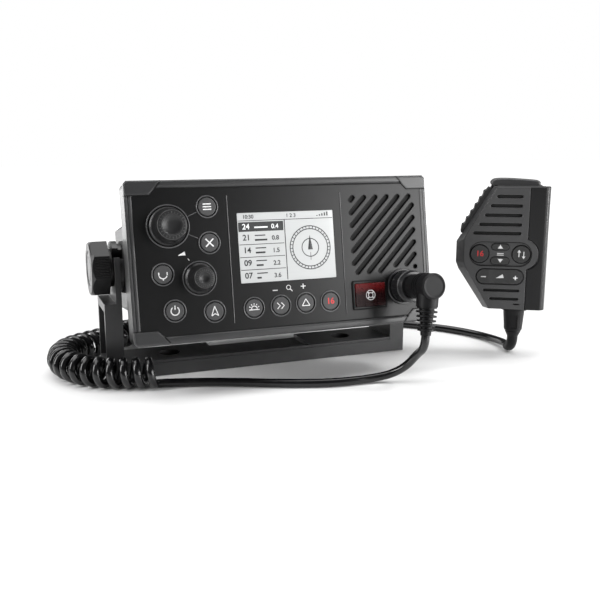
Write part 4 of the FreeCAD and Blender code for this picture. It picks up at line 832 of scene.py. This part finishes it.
# Fist microphone: two grained dark grey shells screwed together from behind, with rubber keys, a volume
# rocker, a ribbed push-to-talk lever and a glossy band down the side that the hand rubs.
mic_finish = moulded("mic_shell_finish", (0.03, 0.03, 0.031), (0.036, 0.036, 0.037), 0.36, 1700.0,
                     0.000012, edge_wear_and_sheen=(0.06, 0.06, 0.06), edge=0.0008)
lever_finish = moulded("lever_finish", (0.01, 0.01, 0.011), (0.015, 0.015, 0.016), 0.45, 2400.0, 0.00002)
mic_key_rubber = moulded("mic_key_finish", (0.012, 0.012, 0.012), (0.017, 0.017, 0.018), 0.46, 3000.0,
                         0.00002, edge_wear_and_sheen=(0.06, 0.06, 0.06))
dress(mic_finish, "mic_front_shell", "mic_rear_shell")
dress(lever_finish, "ptt_lever")
dress(mic_key_rubber, "mic_key_quick", "mic_key_power", "mic_key_up", "mic_key_down",
      "mic_volume_rocker")
mic_turn = math.radians(-32.0)
mic_foot = (0.1645, -0.0521)
mic_front = 0.013


def on_mic(x, z, n):
    """Points x across and z up the microphone's front and n out of it, turned about its upright axis."""
    deep = -mic_front - n
    return np.stack([mic_foot[0] + x * math.cos(mic_turn) - deep * math.sin(mic_turn),
                     mic_foot[1] + x * math.sin(mic_turn) + deep * math.cos(mic_turn), z + 0.0 * n], axis=-1)


def side_band():
    """Glossy band down the right edge. Its section starts at the left border, a straight line that swells
    round the right key by that circle's formula, and runs over the front and round the flank. The places
    marked 1 go along with the border, and those marked 0 stay."""
    high = np.linspace(33.3, 113.0, 160)
    key_x, key_z, swell = 2.2, 70.0, 10.35
    border = key_x + np.sqrt(np.maximum(0.0, swell ** 2 - (high - key_z) ** 2))
    left = np.maximum(5.5, border)
    section = softened(np.array([
        (1, 0.0, -0.86), (1, 0.0, -0.5), (1, 0.5, -0.2), (1, 1.3, -0.02), (0, 14.2, -0.02),
        (0, 15.3, -0.3), (0, 16.5, -1.05), (0, 17.4, -2.2), (0, 18.05, -3.7), (0, 18.5, -5.6),
        (0, 18.75, -8.0), (0, 18.8, -11.9), (0, 18.3, -11.9), (0, 18.2, -8.0), (0, 17.2, -3.6),
        (0, 15.5, -1.2), (1, 0.6, -0.86)], float), 2)
    x = left[:, None] * section[:, 0] + section[:, 1]
    out = section[:, 2] + 0.0 * x
    return skin(on_mic(x * 0.001, high[:, None] * 0.001 + 0.0 * x, out * 0.001))


mic_slots = ((107.2, -15.0, 0.6, 1.9), (101.2, -18.6, 0.6, 1.9), (95.1, -22.0, 0.6, 1.9),
             (89.1, -25.4, 0.6, 1.9), (83.4, -29.0, 0.6, 1.9), (45.9, -21.1, 1.3, 1.6),
             (40.3, -16.9, 0.9, 1.6), (36.9, -1.9, 1.9, 0.8))
mic_gauze = [stroke([(left, z), (right, z)], width, on_mic, -0.0013, 0.0001)
             for z, left, right, width in mic_slots]
piece("mic_gauze", mic_gauze, gauze_finish, "root")
key_well = round_box(-31.2, 8.2, 62.0, 77.7, 7.8, 14)
rocker_well = round_box(-26.5, 3.9, 49.8, 60.2, 5.1, 14)
# Black lines along the key wells' edges and round the two keys in them: painted shade where the wells drop
# in.
well_shade_lines = [stroke(well, 0.45, on_mic, 0.0, 0.00012, True) for well in (key_well, rocker_well)]
well_n = -0.001
quick_key, power_key = (-24.6, 69.8), (1.6, 70.0)
well_shade_lines += [stroke(arc(*key, radius), 0.4, on_mic, well_n, 0.00015, True)
              for key, radius in ((quick_key, 6.1), (power_key, 6.0))]
piece("mic_rim_lines", well_shade_lines, dark_line_finish, "root")


def crown():
    """Top of the rear body, behind the front: an outline across and up is carried backwards. At both
    ends it is drawn in towards its middle, in full where it is 12 mm to the side or 8 mm above or below."""
    outline = softened(np.array([
        (-11.8, 107.0), (-13.6, 113.2), (-18.9, 113.4), (-19.3, 116.0), (-15.5, 118.6), (10.2, 117.2),
        (12.5, 116.4), (12.8, 113.9), (14.6, 113.6), (14.8, 107.0)]), 3)
    outline = np.concatenate([outline, [(-2.0, 107.0)]])
    back = np.array([-13.0, -13.1, -13.5, -14.2, -22.6, -23.3, -23.7, -23.8])[:, None]
    drawn = np.array([1.6, 0.9, 0.3, 0.0, 0.0, 0.3, 0.9, 1.6])[:, None]
    middle = np.array([-2.0, 108.0])
    x = outline[:, 0] - drawn * np.clip((outline[:, 0] - middle[0]) / 12.0, -1.0, 1.0)
    z = outline[:, 1] - drawn * np.clip((outline[:, 1] - middle[1]) / 8.0, -1.0, 1.0)
    return skin(on_mic(x * 0.001, z * 0.001, back * 0.001 + 0.0 * x))


piece("mic_crown", [crown()], mic_finish, "root", 0.7)
band_finish = moulded("mic_band_finish", (0.003, 0.003, 0.0033), (0.0045, 0.0045, 0.005), 0.2, 2000.0,
                      0.000001, specular=0.26)
piece("mic_band", [side_band()], band_finish, "root", 0.9)
key_face = print_n - 0.0001
quick_sign = [figures("16", 5.0, *quick_key, key_face, on_mic)]
piece("mic_quick_sign", quick_sign, red_ink, "mic_key_quick")
mic_signs = {"power": [([(0.2, 68.2), (0.2, 71.4)], 0.5), ([(0.2, 71.3), (0.2, 73.0)], [2.2, 0.05]),
                       ([(3.2, 71.8), (3.2, 68.6)], 0.5), ([(3.2, 68.7), (3.2, 67.0)], [2.2, 0.05])],
             "up": [([(-11.7, 73.5), (-11.7, 75.9)], [3.4, 0.05])],
             "down": [([(-11.4, 66.7), (-11.4, 64.3)], [3.4, 0.05])]}
for word, strokes in mic_signs.items():
    lines = [stroke(line, width, on_mic, key_face) for line, width in strokes]
    piece("mic_" + word + "_sign", lines, white_ink, "mic_key_" + word)
mic_marks = [stroke([(-13.6, z), (-9.4, z)], 0.5, on_mic, well_n) for z in (70.2, 69.1)]
piece("mic_marks", mic_marks, white_ink, "root")
rocker_end, rocker_middle = 0.00022, -0.0003
rocker_signs = [stroke([(-23.2, 54.8), (-20.0, 54.8)], 0.7, on_mic, rocker_end),
                stroke([(-2.7, 54.5), (0.1, 54.5)], 0.7, on_mic, rocker_end),
                stroke([(-1.3, 53.1), (-1.3, 55.9)], 0.7, on_mic, rocker_end),
                stroke([(-13.6, 54.0), (-9.0, 55.4)], [0.1, 2.6], on_mic, rocker_middle)]
piece("mic_volume_signs", rocker_signs, white_ink, "mic_volume_rocker")
